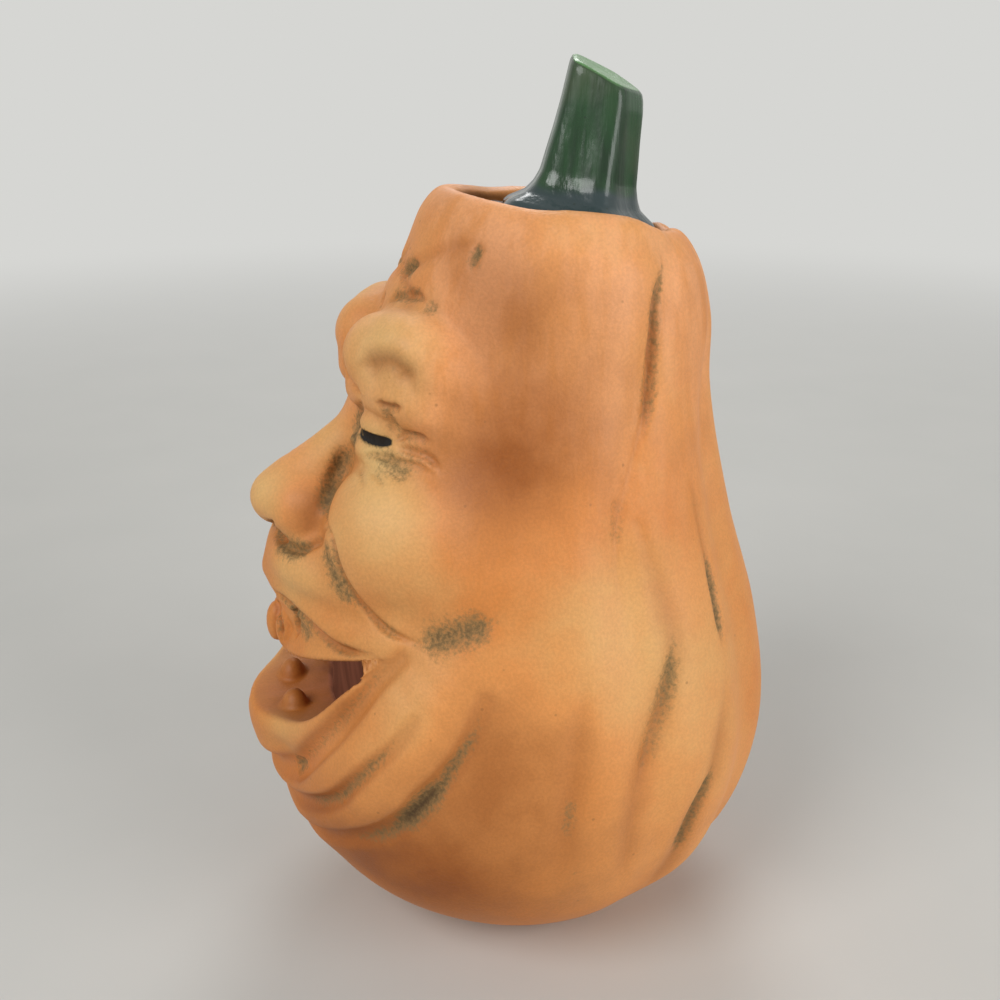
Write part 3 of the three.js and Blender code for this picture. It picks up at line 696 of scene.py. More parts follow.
# Brings every point of a rough mesh onto the clay's surface
def settle(mesh, rounds):
    p = pointsOf(mesh)
    for _ in range(rounds):
        distance = clayDistance(p)
        slope = claySlope(p, distance)
        move = slope * (distance / np.maximum(np.sum(slope ** 2, axis=1), shell["leastSlope"]))[:, None]
        size = np.linalg.norm(move, axis=1)
        p -= move * np.minimum(1, shell["leap"] / np.maximum(size, 1e-9))[:, None]
    setPoints(mesh, p)


def surfaceNormals(mesh):
    flat = np.empty(len(mesh.vertices) * 3)
    mesh.vertex_normals.foreach_get("vector", flat)
    return flat.reshape(-1, 3)


# A merged copy of the solid part, with its foot filled in, so that it has one skin
def mergedCopy(node, foot):
    work = bmesh.new()
    work.from_mesh(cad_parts[node].data)
    bmesh.ops.remove_doubles(work, verts=work.verts, dist=touching)
    low, high = (np.array(corner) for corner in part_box(foot))
    wide = (high[0] - low[0]) / 2 + shell["plugOver"] * mm
    bmesh.ops.create_cone(
        work, cap_ends=True, segments=64, radius1=wide - shell["plugSpread"] * mm, radius2=wide,
        depth=high[2] - low[2], matrix=Matrix.Translation((low + high) / 2))
    return meshOf(work, "clayBlank")


# Where the clay was sprayed paler or left deeper, mixed with painted highlights and painted shade
# where the light falls brighter or darker: its place in the picture, its reach in millimetres,
# and how much, where more than 0 is paler
sprayAndPaintedLight = {
    "brow": (385, 338, 13, 0.9),
    "cheek": (385, 510, 17, 0.8),
    "noseTip": (262, 490, 8, 0.9),
    "noseRidge": (325, 425, 7, 0.5),
    "lip": (290, 580, 9, 0.6),
    "underEye": (372, 452, 7, 0.7),
    "chin": (285, 722, 10, 0.5),
    "jaw": (400, 700, 16, 0.45),
    # the belly, the rear and the shoulder are painted highlights where the light falls
    "belly": (600, 640, 18, 0.5),
    # the temple, the low fold, the foot, the sides and the lower front are painted shade away from the light
    "temple": (490, 478, 15, -1.0),
    "noseWing": (306, 510, 6, -0.8),
    "lipRoll": (352, 712, 7, -0.5),
    "lowFold": (345, 850, 18, -0.7),
    "foot": (520, 890, 22, -0.4),
    "rear": (700, 690, 20, 0.4),
    "foreheadSide": (500, 300, 16, -0.7),
    "midSide": (560, 420, 13, -0.45),
    "bellyFront": (500, 765, 20, -0.65),
    "lowFront": (425, 880, 17, -0.8),
    "shoulder": (560, 215, 12, 0.3),
}


# one tone for the paler spray together with the painted highlights and painted shade
def sprayAndPaintedLightTone(p):
    tone = np.zeros(len(p))
    mirrored = folded(p)
    for across, down, reach, change in sprayAndPaintedLight.values():
        middle = folded(castOnClay(across, down)[None])[0]
        tone += change * np.exp(-np.sum((mirrored - middle) ** 2, axis=1) / reach ** 2)
    return np.clip(tone, -1, 1)


def paintAttribute(mesh, name, values):
    layer = mesh.attributes.new(name, "FLOAT", "POINT")
    layer.data.foreach_set("value", values.astype(np.float32))


def shellMesh():
    mesh = mergedCopy("pumpkin_shell", "pumpkin_foot")
    mesh = modified(mesh, "REMESH", mode="VOXEL", voxel_size=shell["firstVoxel"] * mm)
    settle(mesh, rounds=3)
    finest = shell["voxel"]
    mesh = modified(mesh, "REMESH", mode="VOXEL", voxel_size=finest * mm)
    settle(mesh, rounds=2)
    drawn = drawnStrokes()
    p = pointsOf(mesh)
    depth = grooveDepth(p, drawn)
    setPoints(mesh, p - surfaceNormals(mesh) * depth[:, None])
    # the lines' depth is kept as well, to paint shade into them
    paintAttribute(mesh, "grooveShade", np.clip(depth / shell["deepest"], 0, 1))
    triangles = 2 * len(mesh.polygons)
    if triangles > shell["triangles"]:
        mesh = modified(mesh, "DECIMATE", ratio=shell["triangles"] / triangles, use_collapse_triangulate=True)
    p, normals = pointsOf(mesh), surfaceNormals(mesh)
    # the eye slits count as fully stained, so they are painted near-black: painted shade in the openings
    slit = 1 - smoothStep(eyeDistance(p), *shell["slit"])
    paintAttribute(mesh, "stain", np.maximum(stainAmount(p, drawn), slit))
    paintAttribute(mesh, "tone", sprayAndPaintedLightTone(p))
    farIn = smoothStep(-outsideDistance(p), *shell["skin"])
    paintAttribute(mesh, "inside", farIn * (1 - smoothStep(hollowDistance(p), *shell["hollow"])))
    # painted shade: how closed in each point lies, to darken the colour in hollows
    reach = shell["cavityReach"]
    paintAttribute(mesh, "cavityShade", np.clip(1 - outsideDistance(p + normals * reach) / reach, 0, 1))
    return smoothShaded(mesh)


# Every piece goes into the scene the same way
def addPiece(name, mesh, material, body, slot, *nodes):
    mesh.name = name
    piece = intoScene(name, mesh)
    mesh.materials.clear()
    mesh.materials.append(material)
    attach(piece, body)
    if nodes:
        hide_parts(*nodes)


# Finishes
class Nodes:  # short ways to put shader nodes together
    def __init__(self, tree):
        self.tree = tree

    def feed(self, socket, value):
        if isinstance(value, bpy.types.NodeSocket):
            self.tree.links.new(value, socket)
        else:
            socket.default_value = value

    def add(self, kind, inputs=None, **settings):
        made = self.tree.nodes.new("ShaderNode" + kind)
        for name, value in settings.items():
            setattr(made, name, value)
        for name, value in (inputs or {}).items():
            self.feed(made.inputs[name], value)
        return made

    def place(self, scale=(1, 1, 1)):  # Object coordinates, stretched
        spot = self.add("TexCoord").outputs["Object"]
        return self.add("Mapping", {"Vector": spot, "Scale": scale}).outputs["Vector"]

    def noise(self, place, scale, detail=3.0, roughness=0.5):
        inputs = {"Vector": place, "Scale": scale, "Detail": detail, "Roughness": roughness}
        return self.add("TexNoise", inputs).outputs["Fac"]

    def math(self, operation, one, other=0.0, clamp=False):
        return self.add("Math", {0: one, 1: other}, operation=operation, use_clamp=clamp).outputs[0]

    def span(self, value, low, high, start=0.0, end=1.0):  # eased, from start at low to end at high
        inputs = {"Value": value, "From Min": low, "From Max": high, "To Min": start, "To Max": end}
        return self.add("MapRange", inputs, interpolation_type="SMOOTHSTEP").outputs[0]

    def vary(self, noise, start, end):  # noise lies mostly between these two
        return self.span(noise, 0.3, 0.7, start, end)

    def grey(self, level):
        return self.add("CombineXYZ", {channel: level for channel in range(3)}).outputs[0]

    def mix(self, amount, one, other, blend="MIX"):
        made = self.add("Mix", data_type="RGBA", blend_type=blend)
        for socket, value in zip((0, 6, 7), (amount, one, other)):
            self.feed(made.inputs[socket], value)
        return made.outputs[2]

    def painted(self, name):
        return self.add("Attribute", attribute_name=name).outputs["Fac"]

    def bump(self, height, distance):
        return self.add("Bump", {"Height": height, "Distance": distance}).outputs["Normal"]


def newMaterial(name, constants):
    material = bpy.data.materials.new(name)
    material.use_nodes = True
    nodes = Nodes(material.node_tree)
    surface = material.node_tree.nodes["Principled BSDF"]
    for socket, value in constants.items():
        surface.inputs[socket].default_value = value
    return material, nodes, surface


# Grain, soft mottling and scattered specks, as fired clay, glaze and wax all have at their own scales
def makeGrain():
    group = bpy.data.node_groups.new("grain", "ShaderNodeTree")
    for name, usual in (("Scale", 1000.0), ("Speck Scale", 300.0), ("Speck Size", 0.2)):
        socket = group.interface.new_socket(name, in_out="INPUT", socket_type="NodeSocketFloat")
        socket.default_value = usual
    for name in ("Grain", "Mottle", "Specks"):
        group.interface.new_socket(name, in_out="OUTPUT", socket_type="NodeSocketFloat")
    nodes = Nodes(group)
    given, out = group.nodes.new("NodeGroupInput"), group.nodes.new("NodeGroupOutput")
    place = nodes.add("TexCoord").outputs["Object"]
    scale, speckScale = given.outputs["Scale"], given.outputs["Speck Scale"]
    nodes.feed(out.inputs["Grain"], nodes.noise(place, scale, detail=4.0, roughness=0.6))
    nodes.feed(out.inputs["Mottle"], nodes.noise(place, nodes.math("MULTIPLY", scale, 0.06), detail=5.0))
    cells = nodes.add("TexVoronoi", {"Vector": place, "Scale": speckScale, "Randomness": 1.0})
    chance = nodes.add("SeparateColor", {0: cells.outputs["Color"]}).outputs[0]
    rare = nodes.math("GREATER_THAN", chance, 0.82)  # about one cell in six has a speck
    size = given.outputs["Speck Size"]
    dot = nodes.span(cells.outputs["Distance"], size, nodes.math("MULTIPLY", size, 0.4))
    nodes.feed(out.inputs["Specks"], nodes.math("MULTIPLY", dot, rare))
    return group


grainGroup = makeGrain()


def addGrain(nodes, scale, speckScale, speckSize):
    made = nodes.add("Group", node_tree=grainGroup)
    for name, value in (("Scale", scale), ("Speck Scale", speckScale), ("Speck Size", speckSize)):
        made.inputs[name].default_value = value
    return made.outputs


# Sizes of noise are in waves to the metre, and a grain is its scale, its specks' scale and their size
bisque = {
    "body": swatch(224, 150, 82), "warm": swatch(212, 130, 58), "pale": swatch(228, 190, 124),
    "deep": swatch(150, 80, 18), "rosySheen": swatch(236, 166, 112), "stain": swatch(126, 108, 68),
    "stainCore": swatch(80, 68, 42), "slitShade": swatch(22, 17, 12), "inside": swatch(156, 98, 66),
    "glow": (0.085, 0.036, 0.022, 1.0), "speck": swatch(140, 90, 48),
    "grain": (1500.0, 260.0, 0.12), "streaks": 130.0, "clouds": 22.0, "patches": 1100.0, "drips": 260.0,
    "sheenHeights": (0.09, 0.17), "paleness": 0.85, "deepness": -0.9, "hollows": 0.62, "specks": 0.45,
    "wash": 0.86, "bump": 0.00009, "surface": {"Specular IOR Level": 0.42, "Emission Strength": 1.0},
}


def bisqueMaterial():
    material, nodes, surface = newMaterial("firedClay", bisque["surface"])
    grain = addGrain(nodes, *bisque["grain"])
    place = nodes.place()
    # bare clay, rosier towards the crown in streaks: a painted sheen
    streaks = nodes.noise(nodes.place((1, 1, 0.12)), bisque["streaks"], detail=4.0, roughness=0.6)
    clouds = nodes.noise(place, bisque["clouds"])
    colour = nodes.mix(nodes.span(clouds, 0.35, 0.7), bisque["body"], bisque["warm"])
    high = nodes.add("SeparateXYZ", {0: nodes.add("TexCoord").outputs["Object"]}).outputs["Z"]
    rosySheen = nodes.span(streaks, 0.4, 0.62, 0.25, 0.85)
    rosySheen = nodes.math("MULTIPLY", nodes.span(high, *bisque["sheenHeights"]), rosySheen)
    colour = nodes.mix(rosySheen, colour, bisque["rosySheen"])
    # the spray with painted highlights and painted shade, and painted shade in hollows and grooves
    tone = nodes.math("ADD", nodes.painted("tone"), nodes.vary(grain["Mottle"], -0.12, 0.12))
    paler = nodes.math("MULTIPLY", tone, bisque["paleness"], clamp=True)
    colour = nodes.mix(paler, colour, bisque["pale"])
    deeper = nodes.math("MULTIPLY", tone, bisque["deepness"], clamp=True)
    colour = nodes.mix(deeper, colour, bisque["deep"])
    # painted shade: deeper colour where the clay is closed in and along the drawn lines
    hollow = nodes.math("MAXIMUM", nodes.painted("cavityShade"), nodes.painted("grooveShade"))
    colour = nodes.mix(nodes.math("MULTIPLY", hollow, bisque["hollows"], clamp=True), colour, bisque["deep"])
    fine = nodes.math("ADD", nodes.vary(grain["Grain"], -0.06, 0.06), 1.0)
    colour = nodes.mix(1.0, colour, nodes.grey(fine), "MULTIPLY")
    colour = nodes.mix(nodes.math("MULTIPLY", grain["Specks"], bisque["specks"]), colour, bisque["speck"])
    # the dark wash that stays in the lines
    patches = nodes.noise(place, bisque["patches"], detail=6.0, roughness=0.65)
    stain = nodes.math("ADD", nodes.painted("stain"), nodes.span(patches, 0.25, 0.75, -0.3, 0.3))
    stained = nodes.math("MULTIPLY", nodes.span(stain, 0.06, 0.8), bisque["wash"])
    stained = nodes.math("MULTIPLY", stained, nodes.span(nodes.painted("stain"), 0.0, 0.2))
    wash = nodes.mix(nodes.span(stain, 0.5, 1.1), bisque["stain"], bisque["stainCore"])
    colour = nodes.mix(stained, colour, wash)
    # painted shade: near-black where a line is stained most, in the eye and nostril slits
    colour = nodes.mix(nodes.span(nodes.painted("stain"), 0.84, 0.98), colour, bisque["slitShade"])
    # the hollow's wall, with a painted glow in place of the light that comes in through the far eye and the
    # vents
    drips = nodes.noise(nodes.place((1, 1, 0.05)), bisque["drips"])
    drips = nodes.grey(nodes.span(drips, 0.35, 0.65, 0.72, 1.12))
    wall = nodes.mix(1.0, bisque["inside"], drips, "MULTIPLY")
    colour = nodes.mix(nodes.painted("inside"), colour, wall)
    glow = nodes.mix(1.0, bisque["glow"], drips, "MULTIPLY")
    nodes.feed(surface.inputs["Emission Color"], nodes.mix(nodes.painted("inside"), (0, 0, 0, 1), glow))
    nodes.feed(surface.inputs["Base Color"], colour)
    drier = nodes.math("MULTIPLY", stained, 0.25)
    nodes.feed(surface.inputs["Roughness"], nodes.math("ADD", nodes.vary(grain["Mottle"], 0.5, 0.6), drier))
    height = nodes.math("ADD", grain["Grain"], nodes.math("MULTIPLY", patches, stained))
    nodes.feed(surface.inputs["Normal"], nodes.bump(height, bisque["bump"]))
    return material


glaze = {
    "stem": swatch(28, 68, 33), "dark": swatch(10, 33, 16), "cut": swatch(82, 132, 72),
    "flare": swatch(44, 60, 62), "olive": swatch(70, 78, 52),
    "grain": (700.0, 420.0, 0.18), "streaks": 300.0, "specks": 0.5, "rough": (0.2, 0.42), "bump": 0.0005,
    "surface": {"Specular IOR Level": 0.35, "Coat Weight": 0.3, "Coat Roughness": 0.1},
}


def glazeMaterial():
    material, nodes, surface = newMaterial("greenGlaze", glaze["surface"])
    grain = addGrain(nodes, *glaze["grain"])
    streaks = nodes.noise(nodes.place((1, 1, 0.07)), glaze["streaks"])
    colour = nodes.mix(nodes.span(streaks, 0.35, 0.7, 0.0, 0.7), glaze["stem"], glaze["dark"])
    colour = nodes.mix(nodes.span(grain["Mottle"], 0.5, 0.75, 0.0, 0.5), colour, glaze["olive"])
    flare = nodes.math("ADD", nodes.painted("flare"), nodes.vary(grain["Mottle"], -0.25, 0.25))
    colour = nodes.mix(nodes.span(flare, 0.35, 0.7), colour, glaze["flare"])
    colour = nodes.mix(nodes.painted("cut"), colour, glaze["cut"])
    colour = nodes.mix(nodes.math("MULTIPLY", grain["Specks"], glaze["specks"]), colour, glaze["dark"])
    nodes.feed(surface.inputs["Base Color"], colour)
    nodes.feed(surface.inputs["Roughness"], nodes.vary(grain["Mottle"], *glaze["rough"]))
    height = nodes.math("ADD", streaks, grain["Mottle"])
    nodes.feed(surface.inputs["Normal"], nodes.bump(height, glaze["bump"]))
    return material


# The tealight's finishes: two colours mixed over one noise, specks, roughness over a noise,
# and the noise of the bump with its height in metres
tealightFinishes = {
    "foil": {
        "grain": (900.0, 300.0, 0.2), "over": "Mottle", "speck": swatch(150, 150, 150),
        "colours": (swatch(214, 216, 219), swatch(186, 189, 193)),
        "rough": ("Grain", 0.22, 0.38), "bump": ("Mottle", 0.0004), "surface": {"Metallic": 1.0},
    },
    "wax": {
        "grain": (600.0, 500.0, 0.12), "over": "Mottle", "speck": swatch(214, 203, 178),
        "colours": (swatch(245, 239, 224), swatch(236, 227, 205)), "bump": ("Mottle", 0.0003),
        "surface": {"Subsurface Weight": 0.35, "Subsurface Scale": 0.004,
                    "Subsurface Radius": (1.0, 0.75, 0.5), "Roughness": 0.42},
    },
    "tinplate": {
        "grain": (2200.0, 800.0, 0.2), "over": "Grain", "speck": swatch(120, 112, 100),
        "colours": (swatch(190, 192, 195), swatch(160, 162, 166)),
        "rough": ("Mottle", 0.25, 0.45), "bump": ("Grain", 0.00005), "surface": {"Metallic": 1.0},
    },
    "cotton": {
        "grain": (4000.0, 1500.0, 0.2), "over": "Grain",
        "colours": (swatch(240, 235, 220), swatch(214, 205, 184)), "bump": ("Grain", 0.00012),
        "surface": {"Sheen Weight": 0.4, "Roughness": 0.85},
    },
}


def tealightMaterial(name):
    finish = tealightFinishes[name]
    material, nodes, surface = newMaterial(name, finish["surface"])
    grain = addGrain(nodes, *finish["grain"])
    colour = nodes.mix(grain[finish["over"]], *finish["colours"])
    if "speck" in finish:
        colour = nodes.mix(grain["Specks"], colour, finish["speck"])
    nodes.feed(surface.inputs["Base Color"], colour)
    if "rough" in finish:
        noise, start, end = finish["rough"]
        nodes.feed(surface.inputs["Roughness"], nodes.vary(grain[noise], start, end))
    noise, height = finish["bump"]
    nodes.feed(surface.inputs["Normal"], nodes.bump(grain[noise], height))
    return material


# A solid made of rings of vertices, each extruded from the one before.
# place gives the point of a level at a turn, in millimetres; both ends are drawn together to a point
def ringSolid(name, sides, levels, place):
    work = bmesh.new()
    turnLayer = work.verts.layers.float.new("turn")
    ring = bmesh.ops.create_circle(work, segments=sides, radius=1.0)["verts"]
    for vertex in ring:
        vertex[turnLayer] = math.atan2(vertex.co.y, vertex.co.x)
    first, edges = ring, list(work.edges)
    for number, level in enumerate(levels):
        if number:
            made = bmesh.ops.extrude_edge_only(work, edges=edges)["geom"]
            ring = [part for part in made if isinstance(part, bmesh.types.BMVert)]
            edges = [edge for edge in made if isinstance(edge, bmesh.types.BMEdge)
                     and all(vertex in ring for vertex in edge.verts)]
        for vertex in ring:
            vertex.co = Vector(place(vertex[turnLayer], level)) * mm
    for end in (first, ring):
        bmesh.ops.pointmerge(work, verts=end, merge_co=sum((v.co for v in end), Vector()) / len(end))
    bmesh.ops.recalc_face_normals(work, faces=work.faces)
    return smoothShaded(meshOf(work, name))


def between(levels, steps):  # more levels, evenly between the given ones
    levels = np.array(levels, float)
    shares = np.linspace(0, 1, steps, endpoint=False)
    return [a + (b - a) * t for a, b in zip(levels, levels[1:]) for t in shares] + [levels[-1]]


# Stem lid
stem = {
    "rim": 22.3, "gap": 0.3, "stretch": 1.3, "seat": 4.0, "spigot": 4.0, "spigotGap": 0.8, "ledge": 2.4,
    "front": -13.5, "back": 18.7,  # the seat is cut off straight here, which leaves the two vents
    "petal": 17.0, "petalHeight": 3.4, "foot": 11.0, "footHeight": 9.5, "top": 8.4, "height": 33.5,
    "shift": 3.6, "lobes": 5, "lobeTurn": 0.6, "slope": 0.25, "sides": 120,
    "ridge": 1.4, "ripple": (15, 0.03), "bulge": (3, 0.12),  # how many go round, and their share of a lobe
    # heights where the slant and the flare's colour come in, and how far up the cut face looks
    "slantHeights": (20, 30), "flareHeights": (3.0, 13.0), "cutFacing": (0.6, 0.85), "cutDeep": 5,
    # rings of the slanted top: share of its radius, height over the top, and depth of the lobes
    "cap": [(1.02, -1.6, 0.07), (0.97, -0.4, 0.06), (0.88, 0.1, 0.05), (0.6, -0.1, 0.04), (0.3, -0.3, 0.02)],
}


def fromOpening(x, y, z):
    return (x, gourd["crownShift"] + y * math.cos(lean) + z * math.sin(lean),
            gourd["crownHeight"] - y * math.sin(lean) + z * math.cos(lean))


# Each level is its kind (0 for the oval seat, 1 for the lobed stem), radius, height, lobe depth,
# shift and slope
def stemLevels():
    s = stem
    under, rim = s["rim"] - s["ledge"] - s["spigotGap"], s["rim"] - s["gap"]
    seat = s["rim"] - s["ledge"] - s["gap"]
    low, top = -s["seat"] - s["spigot"], s["height"] - 2
    petal, foot = s["petal"], s["foot"]
    seatRings = [
        (0.5, low), (under * 0.6, low), (under - 0.6, low), (under, low + 0.6), (under, -s["seat"] - 0.3),
        (seat, -s["seat"]), ((seat + rim) / 2, -s["seat"] / 2), (rim, -0.3), (rim - 0.5, 0.1),
        (rim - 2.5, 0.5),
    ]
    flare = [
        (petal, 0.5, 0.08), (petal * 1.01, 1.5, 0.09), (petal * 0.96, 2.6, 0.09),
        (petal * 0.86, s["petalHeight"] + 0.3, 0.09), (petal * 0.76, 4.9, 0.08), (foot * 1.06, 7.0, 0.08),
        (foot * 0.98, s["footHeight"], 0.08), (foot * 0.93, 14.0, 0.08), (foot * 0.87, 19.0, 0.08),
        (s["top"] * 1.07, 25.0, 0.07),
    ]
    seatLevels = [(0, radius, height, 0, 0, 0) for radius, height in seatRings]
    lobed = []
    for radius, height, lobe in flare:
        lobed.append((1, radius, height, lobe, s["shift"] - max(0, 1 - height / 8), 0))
    for share, over, lobe in s["cap"]:
        lobed.append((1, s["top"] * share, top + over, lobe, s["shift"], s["slope"]))
    lobed.append((1, 0.1, top - 0.3, 0, s["shift"], s["slope"]))
    return between(seatLevels, 2) + between(lobed, 3)


def stemPoint(turn, level):
    kind, radius, height, lobe, shift, slope = level
    if kind == 0:
        stretch = stem["stretch"] if radius > 10 else 0  # the middle of the seat's underside stays round
        y = (radius + stretch) * math.sin(turn)
        front, back = stem["front"] + stem["gap"], stem["back"] - stem["gap"]
        return fromOpening(radius * math.cos(turn), min(max(y, front), back), height)
    ridge = abs(math.sin(stem["lobes"] / 2 * (turn - stem["lobeTurn"] / stem["lobes"])))
    (ripples, ripple), (bulges, bulge) = stem["ripple"], stem["bulge"]
    fine = ripple * lobe * math.cos(ripples * turn + 1.0) + bulge * lobe * math.sin(bulges * turn)
    out = radius * (1 + lobe * (1 - 2 * ridge ** stem["ridge"]) + fine)
    x, y = out * math.cos(turn), out * math.sin(turn)
    return fromOpening(x, y + shift, height - slope * (x + y))


def stemLid():
    mesh = ringSolid("stemLid", stem["sides"], stemLevels(), stemPoint)
    mesh = modified(mesh, "SUBSURF", levels=1, render_levels=1)
    p = pointsOf(mesh)
    x, y, z = inOpening(p)
    level = z + stem["slope"] * (x + y - stem["shift"]) * smoothStep(z, *stem["slantHeights"])
    upward = smoothStep(surfaceNormals(mesh)[:, 2], *stem["cutFacing"])
    paintAttribute(mesh, "flare", 1 - smoothStep(z, *stem["flareHeights"]))
    paintAttribute(mesh, "cut", upward * (level > stem["height"] - stem["cutDeep"]))
    return smoothShaded(mesh)


# Tealight
tealight = {
    "bottom": 8.3, "radius": 19.0, "height": 16.0, "wall": 0.6, "bead": 0.5, "gap": 0.3,
    "pleats": 36, "pleat": 0.16, "waxDeep": 12.0, "wick": 0.75, "wickAbove": 9.0,
    "sustainer": 6.0, "sheet": 0.5, "collar": 3.0, "collarWall": 0.6,
    "wickLevels": 90, "strands": 3, "ply": 0.07, "twist": 0.9, "taper": 0.25, "taperOver": 2.2, "bend": 0.5,
}


def cupMesh():
    t = tealight
    out, low, top = t["radius"], t["bottom"], t["bottom"] + t["height"]
    lip, inner, floor = out + t["bead"], out - t["wall"], low + t["wall"]
    # each level is its radius, its height and how deep its pleats are
    levels = [
        (0.5, low, 0), (out * 0.55, low, 0), (out * 0.6, low + 0.12, 0), (out - 1.2, low, 0),
        (out - 0.35, low + 0.35, 0.5), (out, low + 1.2, 1), (out, low + 7, 1), (out, top - 2.2, 1),
        (out + 0.05, top - 1.3, 0), (lip, top - 0.9, 0), (lip, top - 0.35, 0), (out + 0.05, top, 0),
        (inner + 0.1, top - 0.1, 0), (inner, top - 0.8, 0), (inner, top - 2.2, 0.6), (inner, low + 7, 0.6),
        (inner, low + 1.4, 0.6), (inner - 0.8, floor, 0), (out * 0.6, floor, 0), (0.5, floor, 0),
    ]

    def place(turn, level):
        radius, height, pleated = level
        radius -= t["pleat"] * pleated * (0.5 - 0.5 * math.cos(t["pleats"] * turn))
        return radius * math.cos(turn), radius * math.sin(turn), height
    return ringSolid("tealightCup", 6 * t["pleats"], levels, place)


# A closed ring of one profile, turned about the middle line
def turnedRing(name, profile, sides):
    work = bmesh.new()
    corners = [work.verts.new((radius * mm, 0, height * mm)) for radius, height in profile]
    edges = [work.edges.new((a, b)) for a, b in zip(corners, corners[1:] + corners[:1])]
    bmesh.ops.spin(work, geom=corners + edges, cent=(0, 0, 0), axis=(0, 0, 1), dvec=(0, 0, 0),
                   angle=2 * math.pi, steps=sides, use_merge=True)
    bmesh.ops.remove_doubles(work, verts=work.verts, dist=touching)
    bmesh.ops.recalc_face_normals(work, faces=work.faces)
    return smoothShaded(meshOf(work, name))


def waxMesh():
    t = tealight
    out = t["radius"] - t["wall"] - t["gap"]
    sheetLow = t["bottom"] + t["wall"] + t["gap"]
    low = sheetLow + t["sheet"] + t["gap"]
    top = low + t["waxDeep"]
    bore = t["wick"] + t["gap"]
    room = bore + t["collarWall"] + t["gap"]
    roof = sheetLow + t["sheet"] + t["collar"] + t["gap"]
    profile = [
        (room, low), (out - 1.2, low), (out - 0.3, low + 0.3), (out, low + 1.2), (out, top - 0.5),
        (out - 0.15, top), (out - 0.5, top - 0.06), (out - 1.4, top - 0.4), (out * 0.6, top - 0.6),
        (bore + 3, top - 0.62), (bore + 1.2, top - 0.45), (bore + 0.3, top - 0.12), (bore, top - 0.25),
        (bore, roof), (room, roof),
    ]
    return turnedRing("tealightWax", profile, 96)


def sustainerMesh():
    t = tealight
    low = t["bottom"] + t["wall"] + t["gap"]
    floor, bore = low + t["sheet"], t["wick"] + t["gap"]
    collar, top, out = bore + t["collarWall"], floor + t["collar"], t["sustainer"]
    # each level is its radius, its height and its kind: 1 on the plate's edge, 2 on the crimped collar
    levels = [
        (0.2, low, 0), (out - 0.2, low, 1), (out, low + 0.12, 1), (out, floor - 0.12, 1),
        (out - 0.2, floor, 1), (collar + 0.5, floor, 0), (collar, floor + 0.3, 0), (collar, top - 0.1, 2),
        (collar - 0.1, top, 2), (bore + 0.1, top, 2), (bore, top - 0.1, 2), (bore, floor, 0), (0.2, floor, 0),
    ]

    def place(turn, level):
        radius, height, kind = level
        if kind == 1:  # a clipped edge with eight flats
            radius *= 1 - 0.02 * (0.5 - 0.5 * math.cos(8 * turn))
        if kind == 2:  # crimped on to the wick at two sides
            radius *= 1 - 0.06 * (0.5 + 0.5 * math.cos(2 * turn))
        return radius * math.cos(turn), radius * math.sin(turn), height
    return ringSolid("wickSustainer", 64, levels, place)


def wickMesh():
    t = tealight
    low = t["bottom"] + t["wall"] + 2 * t["gap"] + t["sheet"]
    top = low + t["waxDeep"] + t["wickAbove"]
    levels = [(0.1, low)]
    for height in np.linspace(low, top, t["wickLevels"]):
        burnt = smoothStep(height, top - t["taperOver"], top)
        levels.append((t["wick"] * (0.94 - t["taper"] * burnt), height))
    levels.append((0.1, top))

    def place(turn, level):
        radius, height = level
        radius *= 1 + t["ply"] * math.cos(t["strands"] * turn - t["twist"] * height * math.pi)
        bend = t["bend"] * max(0.0, (height - low - t["waxDeep"]) / t["wickAbove"]) ** 2
        return radius * math.cos(turn) + bend, radius * math.sin(turn), height
    return ringSolid("tealightWick", 24, levels, place)


# Floor and light
studio = {
    "floor": swatch(198, 198, 194), "floorMottle": swatch(205, 204, 200), "floorRadius": 4.0,
    "backdrop": swatch(214, 214, 211), "near": 0.3, "far": 1.2,  # the floor fades into it over these metres
    "daylight": swatch(255, 254, 250), "sky": 0.25, "aim": (0, 0, 0.09),
}
lamps = {  # where each stands, how wide it is and its power
    "key": ((0.55, -0.80, 0.95), 0.7, 8.4),
    "fill": ((0.75, 0.75, 0.45), 0.8, 6.8),
    "rim": ((-0.7, 0.2, 0.8), 0.5, 3.0),
}


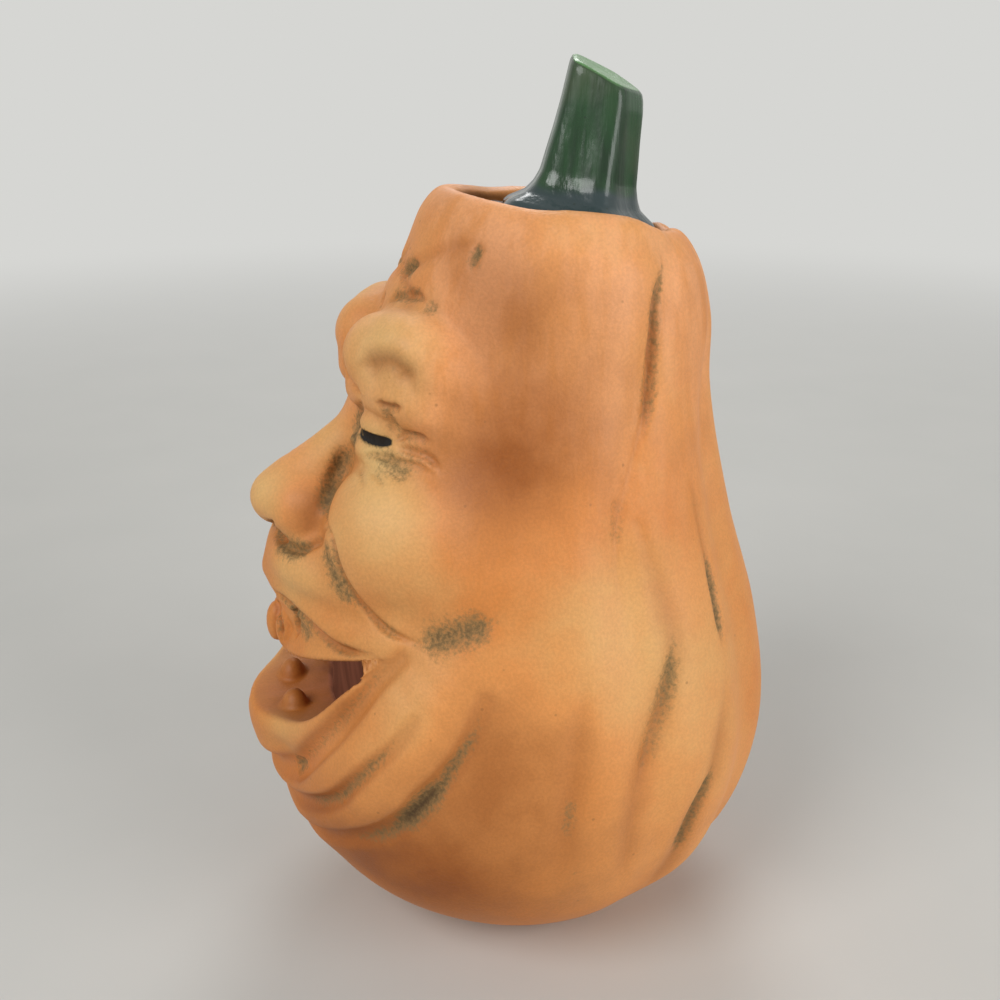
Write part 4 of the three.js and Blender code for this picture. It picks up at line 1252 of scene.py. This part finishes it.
def addFloor():
    material, nodes, surface = newMaterial("paleFloor", {"Roughness": 0.7})
    grain = addGrain(nodes, 300.0, 60.0, 0.05)
    colour = nodes.mix(grain["Mottle"], studio["floor"], studio["floorMottle"])
    nodes.feed(surface.inputs["Base Color"], colour)
    # farther off the floor is seen as pale as the backdrop, with no line between them
    away = nodes.add("VectorMath", {0: nodes.place()}, operation="LENGTH").outputs["Value"]
    seen = nodes.add("LightPath").outputs["Is Camera Ray"]
    lost = nodes.math("MULTIPLY", nodes.span(away, studio["near"], studio["far"]), seen)
    plain = nodes.add("Emission", {"Color": studio["backdrop"]})
    blended = nodes.add("MixShader", {0: lost, 1: surface.outputs["BSDF"], 2: plain.outputs["Emission"]})
    nodes.feed(material.node_tree.nodes["Material Output"].inputs["Surface"], blended.outputs["Shader"])
    work = bmesh.new()
    bmesh.ops.create_circle(work, cap_ends=True, segments=96, radius=studio["floorRadius"])
    floor = intoScene("floor", meshOf(work, "floor"))
    floor.data.materials.append(material)


def addLamp(name, place, size, power):
    data = bpy.data.lights.new(name, "AREA")
    data.shape, data.size, data.energy = "DISK", size, power
    lamp = intoScene(name, data)
    lamp.location = place
    lamp.rotation_euler = (Vector(place) - Vector(studio["aim"])).to_track_quat("Z", "Y").to_euler()


def addSky():
    world = bpy.data.worlds.new("sky")
    bpy.context.scene.world = world
    world.use_nodes = True
    nodes = Nodes(world.node_tree)
    path = nodes.add("LightPath")
    seen = nodes.math("MAXIMUM", path.outputs["Is Camera Ray"], path.outputs["Is Glossy Ray"])
    seen = nodes.math("MAXIMUM", seen, path.outputs["Is Transmission Ray"])
    surface = world.node_tree.nodes["Background"]
    nodes.feed(surface.inputs["Color"], nodes.mix(seen, studio["daylight"], studio["backdrop"]))
    nodes.feed(surface.inputs["Strength"], nodes.span(seen, 0, 1, studio["sky"], 1.0))


bpy.context.scene.view_settings.view_transform = "Standard"
addCamera()
print("camera placed")
addFloor()
for name, (place, size, power) in lamps.items():
    addLamp(name, place, size, power)
addSky()
print("floor and lamps placed")

addPiece("pumpkinShell", shellMesh(), bisqueMaterial(), "pumpkin", "terracotta",
         "pumpkin_shell", "pumpkin_foot")
print("clay shell modelled")
addPiece("stemLid", stemLid(), glazeMaterial(), "lid", "green_glaze", "stem_lid")
print("stem lid modelled")
addPiece("tealightCup", cupMesh(), tealightMaterial("foil"), "tealight", "foil", "tealight_cup")
addPiece("tealightWax", waxMesh(), tealightMaterial("wax"), "candle", "wax", "tealight_wax")
addPiece("wickSustainer", sustainerMesh(), tealightMaterial("tinplate"), "candle", "tinplate",
         "wick_sustainer")
addPiece("tealightWick", wickMesh(), tealightMaterial("cotton"), "candle", "cotton", "tealight_wick")
print("tealight modelled")
